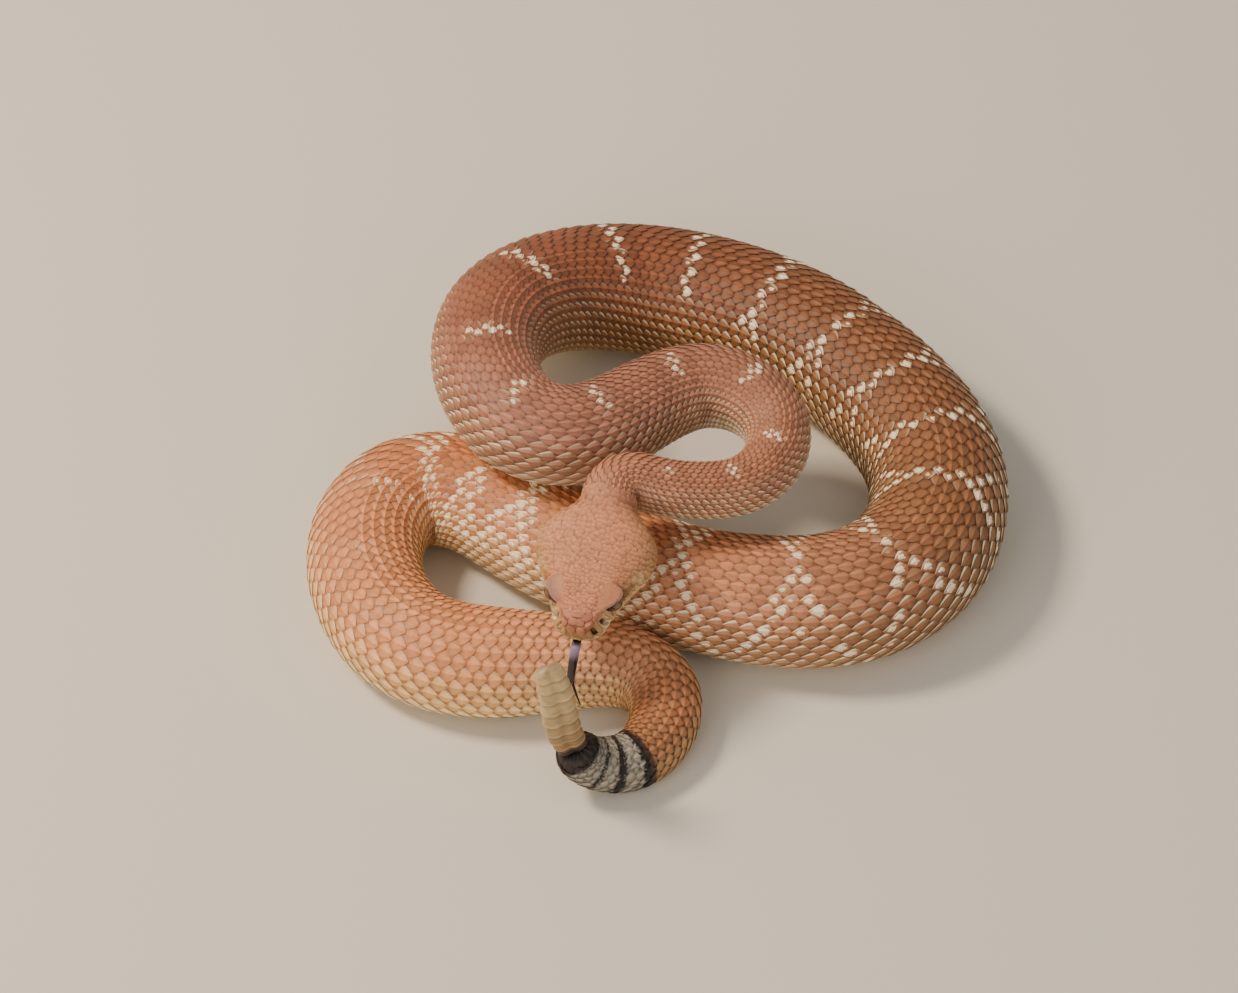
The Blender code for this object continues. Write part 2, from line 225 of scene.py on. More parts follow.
headShape = {
    "length": 51.0,
    "yaw": -12.5,
    "pitch": -15,
    "power": 2.5,
    "stations": (  # share of the length, half width, height above, depth below
        (0.0, 9.6, 9.1, 9.1), (0.07, 11.0, 9.2, 9.3), (0.15, 15.0, 9.7, 10.0), (0.24, 18.5, 10.1, 10.6),
        (0.33, 20.1, 10.2, 10.8), (0.43, 19.8, 10.1, 10.5), (0.53, 17.8, 9.9, 9.8), (0.63, 15.0, 9.6, 8.9),
        (0.73, 12.4, 9.3, 8.1), (0.82, 10.4, 8.7, 7.4), (0.90, 8.9, 7.8, 6.7), (0.96, 7.4, 6.6, 6.0),
        (0.99, 5.9, 5.4, 5.0), (1.0, 4.0, 4.0, 4.0),
    ),
    "noseRound": (0.925, 0.0735),  # where the nose starts to close, and over what share
    "muzzlePinch": (0.36, 0.74, 0.9),  # how much narrower its top is than its lips, and over what share
    "noseForward": (0.12, 0.88, 1.0),  # how far relief pushes ahead as well as out, and over what share
    "mouth": ((0.16, -3.6), (0.3, -4.6), (0.45, -3.4), (0.6, -2.2), (0.75, -2.2), (0.9, -2.8), (1.2, -3.0)),
    "mouthCorner": (7.5, 10),  # ahead, where the line of the mouth opens
    "mouthGroove": (0.5, 0.4),  # depth and half height
    "lowerLip": (0.4, -0.2, 0.7),  # how far it lies inside the upper one, and over what drop
    "relief": (  # ahead, across, rise, their reaches, and the amount outwards, on both sides
        (37.5, 10.6, 4.4, 3.1, 3.0, 2.7, -2.3),  # eye socket
        (37.6, 8.6, 8.6, 6.0, 2.6, 2.2, 0.5),  # brow
        (40.0, 0.0, 9.0, 8.0, 4.0, 4.0, -0.7),  # dip between the brows
        (45.0, 7.0, 6.2, 4.2, 1.4, 1.3, 0.55),  # ridge from brow to nostril
        (44.4, 9.6, 3.3, 3.4, 2.4, 1.7, -0.75),  # hollow before the eye
        (43.9, 9.3, 1.5, 1.15, 1.8, 0.95, -2.1),  # heat pit
        (48.2, 6.4, 2.0, 0.85, 1.6, 0.8, -1.7),  # nostril
        (50.2, 0.0, -3.3, 2.4, 1.9, 1.15, -1.5),  # notch for the tongue
        (30.0, 14.5, 3.4, 6.5, 3.0, 2.0, -0.35),  # groove behind the eye
        (17.0, 17.0, 1.0, 8.0, 5.0, 6.0, 0.25),  # venom gland
        (38.0, 0.0, -8.0, 9.0, 1.2, 4.0, -0.5),  # groove of the chin
    ),
    "ridges": (  # start, end, reach and amount outwards, on both sides
        ((39.5, 9.6, 7.6), (49.6, 2.9, 5.0), 1.25, 1.15),  # sharp edge of the muzzle's flat top
        ((41.5, 10.4, 4.6), (48.2, 6.8, 3.2), 1.6, -0.8),  # hollow along the muzzle's side
    ),
    "eye": (0.735, 10.2, 4.6),
    "eyeRadius": 3.0,
    "pit": (43.9, 9.3, 1.5),
    "nostril": (48.2, 6.4, 2.0),
    "tongue": (0.975, 0.0, -3.4),
}


def headAxes():
    yaw = math.radians(headShape["yaw"]) - math.pi / 2
    turn = Matrix.Rotation(yaw, 3, "Z") @ Matrix.Rotation(-math.radians(headShape["pitch"]), 3, "Y")
    return np.array(turn).T  # rows: ahead, the animal's left, up


ahead, left, up = headAxes()
line = spline(bodyShape["route"], 64)
reach = np.concatenate([[0], np.cumsum(np.linalg.norm(np.diff(line, axis=0), axis=1))])
bodyLength = reach[-1]
bodyEnd = bodyLength - bodyShape["endGap"]


def headPoint(x, y, z):
    x, y, z = (np.asarray(v, float)[..., None] for v in (x, y, z))
    return line[0] + ahead * x + left * y + up * z


# From the head's own ahead, left and up, in metres, to the room
def headMatrix():
    turn = Matrix([list(row) for row in np.array([ahead, left, up]).T])
    return Matrix.Translation(Vector(line[0]) * mm) @ turn.to_4x4()


eyePlace = (headShape["eye"][0] * headShape["length"], *headShape["eye"][1:])


# Points of the body's line at places along it
def lineAt(s):
    return np.stack([np.interp(s, reach, line[:, k]) for k in range(3)], -1)


# One table of the whole snake: place, right side, back, half width, height, depth, and the section's
# two powers
def makeTable():
    stations = np.arange(-headShape["length"], bodyLength + bodyShape["step"], bodyShape["step"])
    body = np.clip(stations, 0, bodyLength)
    place = lineAt(body)
    onHead = stations < 0
    place[onHead] = line[0] - ahead * stations[onHead, None]
    over = bodyShape["directionOver"]
    along = unit(lineAt(np.clip(body + over, None, bodyLength)) - lineAt(np.clip(body - over, 0, None)))
    near = smoothStep(stations, *bodyShape["neckTurn"])[:, None]
    along = unit(along * near - ahead * (1 - near))
    right = unit(np.cross([0, 0, 1], along))
    back = np.cross(along, right)
    girth = smoothRows(bodyShape["girth"], body)
    start, span = bodyShape["tailRound"]
    girth[:, 0] *= np.sqrt(1 - np.clip((body - bodyLength + start) / span, 0, 1) ** 2)
    headSize = smoothRows(headShape["stations"], np.clip(-stations / headShape["length"], 0, 1))
    width = np.where(onHead, headSize[:, 0], girth[:, 0])
    above = np.where(onHead, headSize[:, 1], girth[:, 0] * girth[:, 1])
    below = np.where(onHead, headSize[:, 2], girth[:, 0] * girth[:, 1])
    squared = smoothStep(-stations, *bodyShape["neckSection"])
    topPower = bodyShape["backPower"] + (headShape["power"] - bodyShape["backPower"]) * squared
    lowPower = bodyShape["bellyPower"] + (headShape["power"] - bodyShape["bellyPower"]) * squared
    return stations[0], np.column_stack([place, right, back, width, above, below, topPower, lowPower])


firstStation, table = makeTable()


# The angle of a section by its share of the way from back (0) to belly (1)
def makeArc():
    angle = np.linspace(math.pi / 2, -math.pi / 2, 2001)
    power = np.where(np.sin(angle) > 0, bodyShape["backPower"], bodyShape["bellyPower"])
    x = np.abs(np.cos(angle)) ** (2 / power)
    y = np.sign(np.sin(angle)) * np.abs(np.sin(angle)) ** (2 / power) * bodyShape["arcHeight"]
    run = np.concatenate([[0], np.cumsum(np.hypot(np.diff(x), np.diff(y)))])
    return run / run[-1], angle


arcShare, arcAngle = makeArc()


def mouthHeight(x):
    return smoothRows(headShape["mouth"], np.ravel(x) / headShape["length"])[:, 0].reshape(np.shape(x))


# How far the line of the mouth is open, from its corner ahead
def mouthParted(x):
    return smoothStep(x, *headShape["mouthCorner"])


# Distance from places on either side of the head to a line
def distanceTo(x, y, z, start, end):
    p = np.stack([x, np.abs(y), z], -1)
    a, b = np.array(start, float), np.array(end, float)
    t = np.clip(((p - a) @ (b - a)) / ((b - a) @ (b - a)), 0, 1)
    return np.linalg.norm(p - a - t[..., None] * (b - a), axis=-1)


# Distance from a feature on either side of the head, where the way across counts less
def featureAway(x, y, z, place, acrossShare):
    return np.sqrt((x - place[0]) ** 2 + ((np.abs(y) - place[1]) * acrossShare) ** 2 + (z - place[2]) ** 2)


# How far the head's surface is pushed out or in at a place on it
def headRelief(x, y, z):
    amount = np.zeros_like(x)
    for cx, cy, cz, rx, ry, rz, push in headShape["relief"]:
        amount += push * np.exp(-(((x - cx) / rx) ** 2) - ((np.abs(y) - cy) / ry) ** 2 - ((z - cz) / rz) ** 2)
    for start, end, reachOf, push in headShape["ridges"]:
        away = distanceTo(x, y, z, start, end)
        amount += push * np.exp(-((away / reachOf) ** 2))
    mouth, parted = mouthHeight(x), mouthParted(x)
    deep, tall = headShape["mouthGroove"]
    amount -= deep * parted * np.exp(-(((z - mouth) / tall) ** 2))
    inset, start, end = headShape["lowerLip"]
    amount -= inset * parted * smoothStep(mouth - z, start, end)
    return amount


# A point's place in its section: out to the right, up the back, and ahead
def section(s, u):
    at = np.clip((s - firstStation) / bodyShape["step"], 0, len(table) - 1.001)
    low = at.astype(int)
    f = (at - low)[..., None]
    values = table[low] * (1 - f) + table[low + 1] * f
    width, above, below, topPower, lowPower = np.moveaxis(values[..., 9:], -1, 0)
    side = (u + 1) % 2 - 1
    angle = np.interp(np.abs(side), arcShare, arcAngle)
    sine = np.sin(angle)
    power = np.where(sine > 0, topPower, lowPower)
    across = np.sign(side) * np.abs(np.cos(angle)) ** (2 / power) * width
    height = np.where(sine > 0, above, below)
    rise = np.sign(sine) * np.abs(sine) ** (2 / power) * height
    forward = np.zeros_like(across)
    onHead = s < 3
    if onHead.any():
        share = -s[onHead] / headShape["length"]
        start, span = headShape["noseRound"]
        close = np.sqrt(np.clip(1 - (np.clip(share - start, 0, None) / span) ** 2, 0, 1))
        y, z = across[onHead] * close, rise[onHead] * close
        top = smoothStep(rise[onHead] / height[onHead], -0.1, 0.95) * (rise[onHead] > 0)
        pinch, start, end = headShape["muzzlePinch"]
        y = y * (1 - pinch * smoothStep(share, start, end) * top)
        wide, tall = width[onHead], height[onHead]
        most, start, end = headShape["noseForward"]
        outX = smoothStep(share, start, end) * most
        out = unit(np.stack([outX, y / wide**2, z / tall**2], -1))
        push = headRelief(-s[onHead], -y, z) * smoothStep(-s[onHead], *bodyShape["neckTurn"])
        across[onHead] = y + out[:, 1] * push
        rise[onHead] = z + out[:, 2] * push
        forward[onHead] = out[:, 0] * push
    return values, across, rise, forward


def surface(s, u):
    s, u = np.broadcast_arrays(np.asarray(s, float), np.asarray(u, float))
    values, across, rise, forward = section(s, u)
    place, right, back = values[..., 0:3], values[..., 3:6], values[..., 6:9]
    place = place + right * across[..., None] + back * rise[..., None]
    return place + ahead * forward[..., None]


def headLocal(s, u):
    _, across, rise, forward = section(np.asarray(s, float), np.asarray(u, float))
    return -s + forward, -across, rise


# Surface points moved out by lift, never through the floor: what lies outermost rests on it
def lifted(s, u, lift, ds=0.3, du=0.006):
    s, u = np.broadcast_arrays(np.asarray(s, float), np.asarray(u, float))
    inS = np.maximum(s, -headShape["length"] * 0.996)  # the nose's point itself has no direction
    alongS = surface(inS + ds, u) - surface(inS - ds, u)
    alongU = surface(inS, u + du) - surface(inS, u - du)
    normal = unit(np.cross(alongS, alongU))
    lift = np.broadcast_to(lift, s.shape)
    points = surface(s, u) + normal * lift[..., None]
    points[..., 2] = np.maximum(points[..., 2], np.maximum(0.05 - lift, 0))
    return points


# Millimetres of surface to one unit of s, and to one unit of u
def stretch(s, u):
    alongS = np.linalg.norm(surface(s + 0.5, u) - surface(s - 0.5, u), axis=-1)
    alongU = np.linalg.norm(surface(s, u + 0.01) - surface(s, u - 0.01), axis=-1) / 0.02
    return np.maximum(alongS, 0.25), np.maximum(alongU, 4.0)


# The place u on the head's side at a given rise
def sideAt(x, rise, side):
    tries = np.linspace(0.06, 0.97, 400)
    xs, us = np.meshgrid(x, tries, indexing="ij")
    _, _, z = headLocal(-xs, us)
    return np.array([side * np.interp(-r, -row, tries) for row, r in zip(z, rise)])


print("body line", round(float(bodyLength), 1), "mm")


# Markings: what colour the snake is at a place on it, with painted light and shade in its ground colours
pale = linear("#F9E8C6")
markings = {
    "bands": (
        -8, 21, 44, 67, 97, 125, 157, 184, 213, 260, 298, 328, 358, 389, 416, 442, 468, 505, 536, 575, 604,
        632, 652, 672, 694, 726, 755, 785, 812, 838, 860, 885,
    ),
    # place, back, flank, low flank, and the dark line between scales, which is partly painted shade in the
    # grooves
    # The ground is darker from about 235 to 480 with painted shade, and paler from about 700 to 812 with
    # painted light
    "groundWithPaintedLight": (
        (0, "#BB7B5D", "#B17758", "#CDB48C", "#754838"),
        (60, "#B17455", "#B28264", "#EADBBB", "#6A4234"),
        (170, "#B0765E", "#B08468", "#F0E2C6", "#653E33"),
        (235, "#9F6044", "#9C6A48", "#CDB088", "#5E382A"),
        (300, "#884E31", "#8A5832", "#B48E5C", "#4E2C1C"),
        (380, "#8E5836", "#A0723F", "#C8B27C", "#5A3420"),
        (480, "#9A6640", "#90673E", "#B4966A", "#5A3420"),
        (512, "#B07652", "#9C6E48", "#B89468", "#5E3822"),
        (540, "#C68662", "#B27E58", "#C6A47A", "#663C24"),
        (580, "#D68E64", "#D29A6E", "#E2C89A", "#744830"),
        (625, "#D48C5C", "#E8C290", "#F4E4B8", "#8A583C"),
        (665, "#C97C4D", "#DDA46C", "#EECC88", "#86523A"),
        (710, "#DF9260", "#F4BC7C", "#FFE8B0", "#B27856"),
        (780, "#DF925E", "#F6BE78", "#FFE4A4", "#B27652"),
        (812, "#E8A67C", "#F2C48A", "#FCE4AC", "#94603E"),
        (862, "#BA764C", "#C49056", "#D8B068", "#6A4630"),
        (870, "#AC744C", "#BA8A58", "#CCA868", "#543A2A"),
    ),
    # place, strength of the pale line, rows it reaches down, its width, pale rims on the flank, how much of a
    # scale in the line is pale all over, rows that the line runs straight down, size of a spot
    "net": (
        (0, 0.15, 2.0, 0.15, 0.35, 0.0, 2.0, 1.0), (30, 0.9, 2.4, 0.15, 0.9, 0.0, 2.0, 1.0),
        (190, 0.95, 3.0, 0.15, 0.9, 0.0, 3.0, 1.0), (235, 0.95, 3.2, 0.14, 0.6, 0.0, 3.2, 1.0),
        (320, 0.95, 4.4, 0.14, 0.7, 0.0, 3.6, 1.0), (380, 0.95, 8.0, 0.15, 1.2, 0.05, 3.0, 1.0),
        (440, 0.95, 11.0, 0.14, 1.2, 0.05, 2.0, 1.0), (560, 0.95, 13.0, 0.13, 1.3, 0.05, 1.0, 1.05),
        (605, 1.0, 14.0, 0.3, 1.4, 0.1, 0.0, 0.95), (668, 0.9, 14.0, 0.28, 1.2, 0.1, 0.0, 0.95),
        (700, 0.35, 9.0, 0.2, 0.6, 0.05, 0.0, 0.95),
        (760, 0.18, 8.0, 0.17, 0.4, 0.0, 0.0, 0.9), (860, 0.1, 6.0, 0.16, 0.2, 0.0, 0.0, 0.9),
        (906, 0.0, 5.0, 0.16, 0.0, 0.0, 0.0, 0.9),
    ),
    "slant": 0.82,  # share of the rows over which the line crosses half a band
    "tailRings": (  # where each starts, and its colour
        (878.2, "#4A3428"), (879.4, "#231C1A"), (881.4, "#A59D8E"), (886.6, "#1E1A1A"), (889, "#A39B8C"),
        (893.4, "#1C1A1C"), (895, "#9C9588"), (900.8, "#281E1A"),
    ),
}
bands = np.array(markings["bands"], float)
groundPlaces = np.array([row[0] for row in markings["groundWithPaintedLight"]], float)
groundColoursWithPaintedLight = [np.array([linear(row[k]) for row in markings["groundWithPaintedLight"]]) for k in range(1, 5)]
netRows = np.array(markings["net"], float)
ringPlaces = np.array([row[0] for row in markings["tailRings"]])
ringColours = np.array([linear(row[1]) for row in markings["tailRings"]])


def alongColours(s, colours):
    return np.stack([np.interp(s, groundPlaces, colours[:, k]) for k in range(3)], -1)


# The tail ring that a place lies in
def ringAt(s):
    return np.clip(np.searchsorted(ringPlaces, s) - 1, 0, len(ringPlaces) - 1)


# Colours of a scale's face, its rim and its upper edge, and the size of its pale spot
def scaleColours(s, row, seeds):
    rowCount = dorsal["rows"]
    side = np.abs(row) / rowCount  # 0 on the back, 1 at the belly's edge
    back, flank, low, dark = (alongColours(s, colours) for colours in groundColoursWithPaintedLight)
    tone = blend(back, flank, smoothStep(side, 0.3, 0.62))
    # The pale low flank reaches higher on the neck and on the rear body
    raised = 0.14 * smoothStep(s, 40, 75) * (1 - smoothStep(s, 90, 130))
    raised = raised + 0.08 * smoothStep(s, 690, 720) * (1 - smoothStep(s, 800, 820))
    tone = blend(tone, low, smoothStep(side + raised, 0.66, 0.98))
    # The pale lines run between the bands' middles, as diamonds: away is 1 on a line
    k = np.clip(np.searchsorted(bands, s), 1, len(bands) - 1)
    centre, half = (bands[k] + bands[k - 1]) / 2, (bands[k] - bands[k - 1]) / 2
    strength, rowsDown, wide, rims, wholeShare, straight, spot = (
        np.interp(s, netRows[:, 0], netRows[:, c]) for c in range(1, 8)
    )
    down = np.clip(np.abs(row) - straight, 0, None) / (rowCount * markings["slant"])
    away = np.abs(s - centre) / half + down
    away = np.where(away > 1.45, 2 - away + 0.35, away)
    fade = 1 - smoothStep(np.abs(row), rowsDown * 0.75, rowsDown * 1.25)
    line = np.exp(-(((away - 1) / wide) ** 2)) * strength * fade
    line = np.clip(line * (0.5 + 0.75 * seeds[0]), 0, 1)
    fleck = smoothStep(line, 0.2, 0.6) * (1 - smoothStep(side, 0.8, 1.0)) * spot * (0.78 + 0.44 * seeds[4])
    whole = smoothStep(line, 0.55, 0.9) * wholeShare * (0.5 + 0.5 * seeds[4])
    whole = whole * (1 - 0.5 * smoothStep(side, 0.35, 0.65))
    # A darker line runs inside each pale one, and every scale differs a little
    darker = 0.18 * np.exp(-(((away - 0.62) / 0.16) ** 2)) * (1 - smoothStep(side, 0.6, 0.8)) * strength
    tone = tone * (1 - darker)[..., None]
    hue = 1 + (seeds[2] - 0.5)[..., None] * np.array([0.04, -0.03, -0.06])
    tone = tone * (0.9 + 0.2 * seeds[1])[..., None] * hue
    tone = blend(tone, pale, whole * 0.4)
    # On the left coil the pale colour lies in the grooves round the scales too
    outlined = line * smoothStep(s, 585, 610) * (1 - smoothStep(s, 690, 715))
    # The rim: the scale darkened towards its groove, painted shade mixed with the dark line's colour, pale on
    # the left coil
    rim = blend(blend(dark, tone * 0.75, 0.55), pale, np.maximum(0.35 * whole, 0.75 * outlined))
    rimPale = rims * smoothStep(side, 0.25, 0.6) * (0.55 + 0.5 * seeds[3])
    edge = blend(rim, pale, np.clip(rimPale + line * 0.9, 0, 0.92))
    return tone, rim, edge, fleck


# The tail's rings cross its scales, so each point of a scale takes its own colour there
def ringTail(s, seeds, *colours):
    ring = ringColours[ringAt(s + 0.9 * (seeds - 0.5))]
    smudged = (ring.mean(axis=-1) > 0.2) & (seeds > 0.78)
    ring = ring * (0.86 + 0.28 * seeds)[..., None]
    ring = np.where(smudged[..., None], ring * 0.3, ring)
    share = (s > ringPlaces[0]).astype(float)
    # Rims and edges take darker copies of the ring's colour: painted shade towards the grooves
    return [blend(colour, ring * dim, share) for colour, dim in zip(colours, (1.0, 0.6, 0.75))]


# The skin under the scales, darker in the grooves between them: its own darker colour and painted shade
def skinColours(s, u):
    side = np.clip(np.abs((u + 1) % 2 - 1) / dorsal["share"], 0, 1)
    back, _, low, dark = (alongColours(s, colours) for colours in groundColoursWithPaintedLight)
    tone = blend(dark * 0.75 + back * 0.25, dark * 0.5 + low * 0.5, smoothStep(side, 0.55, 0.95))
    return np.where((s > ringPlaces[0])[..., None], ringColours[ringAt(s)] * 0.6, tone)


headColours = {
    "crown": linear("#C8845F"),
    "side": linear("#BE8E5C"),
    "snout": linear("#C47F60"),
    "cream": linear("#EACD98"),
    "stripe": linear("#8E5C3E"),
    "chin": linear("#D9C196"),
    # Painted shade in the eye socket, pit, nostril, mouth line and tongue notch, and under and around the
    # brow plates
    "hollowShade": linear("#1C120E"),
    # The next two: a painted grey-violet sheen on the brow plates' outer half, and a painted highlight on
    # their outer rim
    "brow": linear("#9A6656"),
    "browRimHighlight": linear("#EAD2B2"),
}
headMarks = {  # start, end, half width
    "stripe": ((36, 12.2, 4), (13, 17.5, -0.5), 1.9),
    "bar": ((42.2, 9.8, 5.0), (45.5, 8.6, -1.5), 1.9),
}


def headTone(x, y, z):
    colours = headColours
    mouth = mouthHeight(x)
    tone = blend(colours["side"], colours["crown"], smoothStep(z + 2.2 * smoothStep(x, 26, 36), 3.2, 9.0))
    onSnout = smoothStep(x, 36, 44) * smoothStep(z + 1.6 * smoothStep(x, 44, 50), 3, 6)
    tone = blend(tone, colours["snout"], onSnout)
    # A dark stripe from the eye to the mouth's corner, with a pale line above it
    start, end, wide = headMarks["stripe"]
    away = distanceTo(x, y, z, start, end)
    tone = blend(tone, colours["stripe"], 0.6 * np.exp(-((away / wide) ** 4)))
    above = np.exp(-(((away - 3.0) / 0.7) ** 2)) * smoothStep(z, 6.5, 5.0)
    tone = blend(tone, colours["cream"], 0.5 * above)
    # A pale bar from the eye to the lips, and pale lips
    start, end, wide = headMarks["bar"]
    away = distanceTo(x, y, z, start, end)
    tone = blend(tone, colours["cream"], np.exp(-((away / wide) ** 2)))
    tone = blend(tone, colours["cream"], 0.5 * smoothStep(mouth + 3.2 - z, 0, 2))
    tone = blend(tone, colours["chin"], smoothStep(mouth - z, 0.6, 3))
    nape = blend(groundColoursWithPaintedLight[0][0], groundColoursWithPaintedLight[2][0], smoothStep(-z, -4, 6))
    return blend(nape, tone, smoothStep(x, -1, 11))


# Meshes from arrays of points and faces
def meshFrom(name, points, corners, totals, material):
    mesh = bpy.data.meshes.new(name)
    mesh.vertices.add(len(points))
    mesh.vertices.foreach_set("co", np.ascontiguousarray(points * mm, np.float32).ravel())
    mesh.loops.add(len(corners))
    mesh.loops.foreach_set("vertex_index", corners.astype(np.int32))
    mesh.polygons.add(len(totals))
    mesh.polygons.foreach_set("loop_start", (np.cumsum(totals) - totals).astype(np.int32))
    mesh.update(calc_edges=True)
    mesh.validate()
    mesh.shade_smooth()
    mesh.materials.append(material)
    made = bpy.data.objects.new(name, mesh)
    bpy.context.scene.collection.objects.link(made)
    return made


def addColours(made, name, colours):
    data = made.data.color_attributes.new(name=name, type="FLOAT_COLOR", domain="POINT")
    rgba = np.ones((len(colours), 4), np.float32)
    rgba[:, :3] = colours
    data.data.foreach_set("color", rgba.ravel())


def addLooks(made, tone, rim, edge, fleck):
    for name, colours in (("tone", tone), ("rim", rim), ("edge", edge)):
        addColours(made, name, colours)
    data = made.data.attributes.new(name="fleck", type="FLOAT", domain="POINT").data
    data.foreach_set("value", fleck.astype(np.float32))


def addUv(made, name, places):
    layer = made.data.uv_layers.new(name=name)
    layer.data.foreach_set("uv", np.ascontiguousarray(places, np.float32).ravel())


def finishPiece(made, nodes=()):
    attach(made, "root")
    if nodes:
        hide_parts(*nodes)


def flatFaces(faces):
    return np.concatenate([np.array(f) for f in faces]), np.array([len(f) for f in faces])


# A unit sphere, and its points
def addSphere(name, segments, rings):
    bpy.ops.mesh.primitive_uv_sphere_add(segments=segments, ring_count=rings, radius=1)
    made = bpy.context.object
    made.name = name
    points = np.zeros(len(made.data.vertices) * 3)
    made.data.vertices.foreach_get("co", points)
    return made, points.reshape(-1, 3)


def turnOutwards(made):
    bpy.context.view_layer.objects.active = made
    made.select_set(True)
    bpy.ops.object.mode_set(mode="EDIT")
    bpy.ops.mesh.select_all(action="SELECT")
    bpy.ops.mesh.normals_make_consistent(inside=False)
    bpy.ops.object.mode_set(mode="OBJECT")
    made.select_set(False)


# Materials
smooth = {"interpolation_type": "SMOOTHSTEP"}
colourMix = {"data_type": "RGBA"}
falling = {"To Min": 1.0, "To Max": 0.0}
noiseSpan = {"From Min": 0.3, "From Max": 0.7}  # where most of a noise pattern's values lie


# The end of a material: its colour shaded by a pattern, and bump from a height
def finishMaterial(tree, shader, colour, shade, height, strength, depth):
    shaded = addNode(tree, "VectorMath", {"operation": "SCALE"}, {"Vector": colour, "Scale": shade})
    tree.links.new(shaded.outputs[0], shader.inputs["Base Color"])
    bump = addNode(tree, "Bump", {}, {"Strength": strength, "Distance": depth, "Height": height})
    tree.links.new(bump.outputs[0], shader.inputs["Normal"])


# A surface whose own colour is mottled and raised by one fine pattern
def makeGrainedMaterial(name, values, pattern, shades, strength, depth):
    made, tree, shader = startMaterial(name, values)
    tone = addNode(tree, "Attribute", {"attribute_name": "tone"})
    place = addNode(tree, "TexCoord").outputs["Object"]
    grain = addNode(tree, "TexNoise", {}, {**pattern, "Vector": place})
    span = {**noiseSpan, "To Min": shades[0], "To Max": shades[1]}
    shade = addNode(tree, "MapRange", {}, {**span, "Value": grain})
    finishMaterial(tree, shader, tone, shade, grain, strength, depth)
    return made


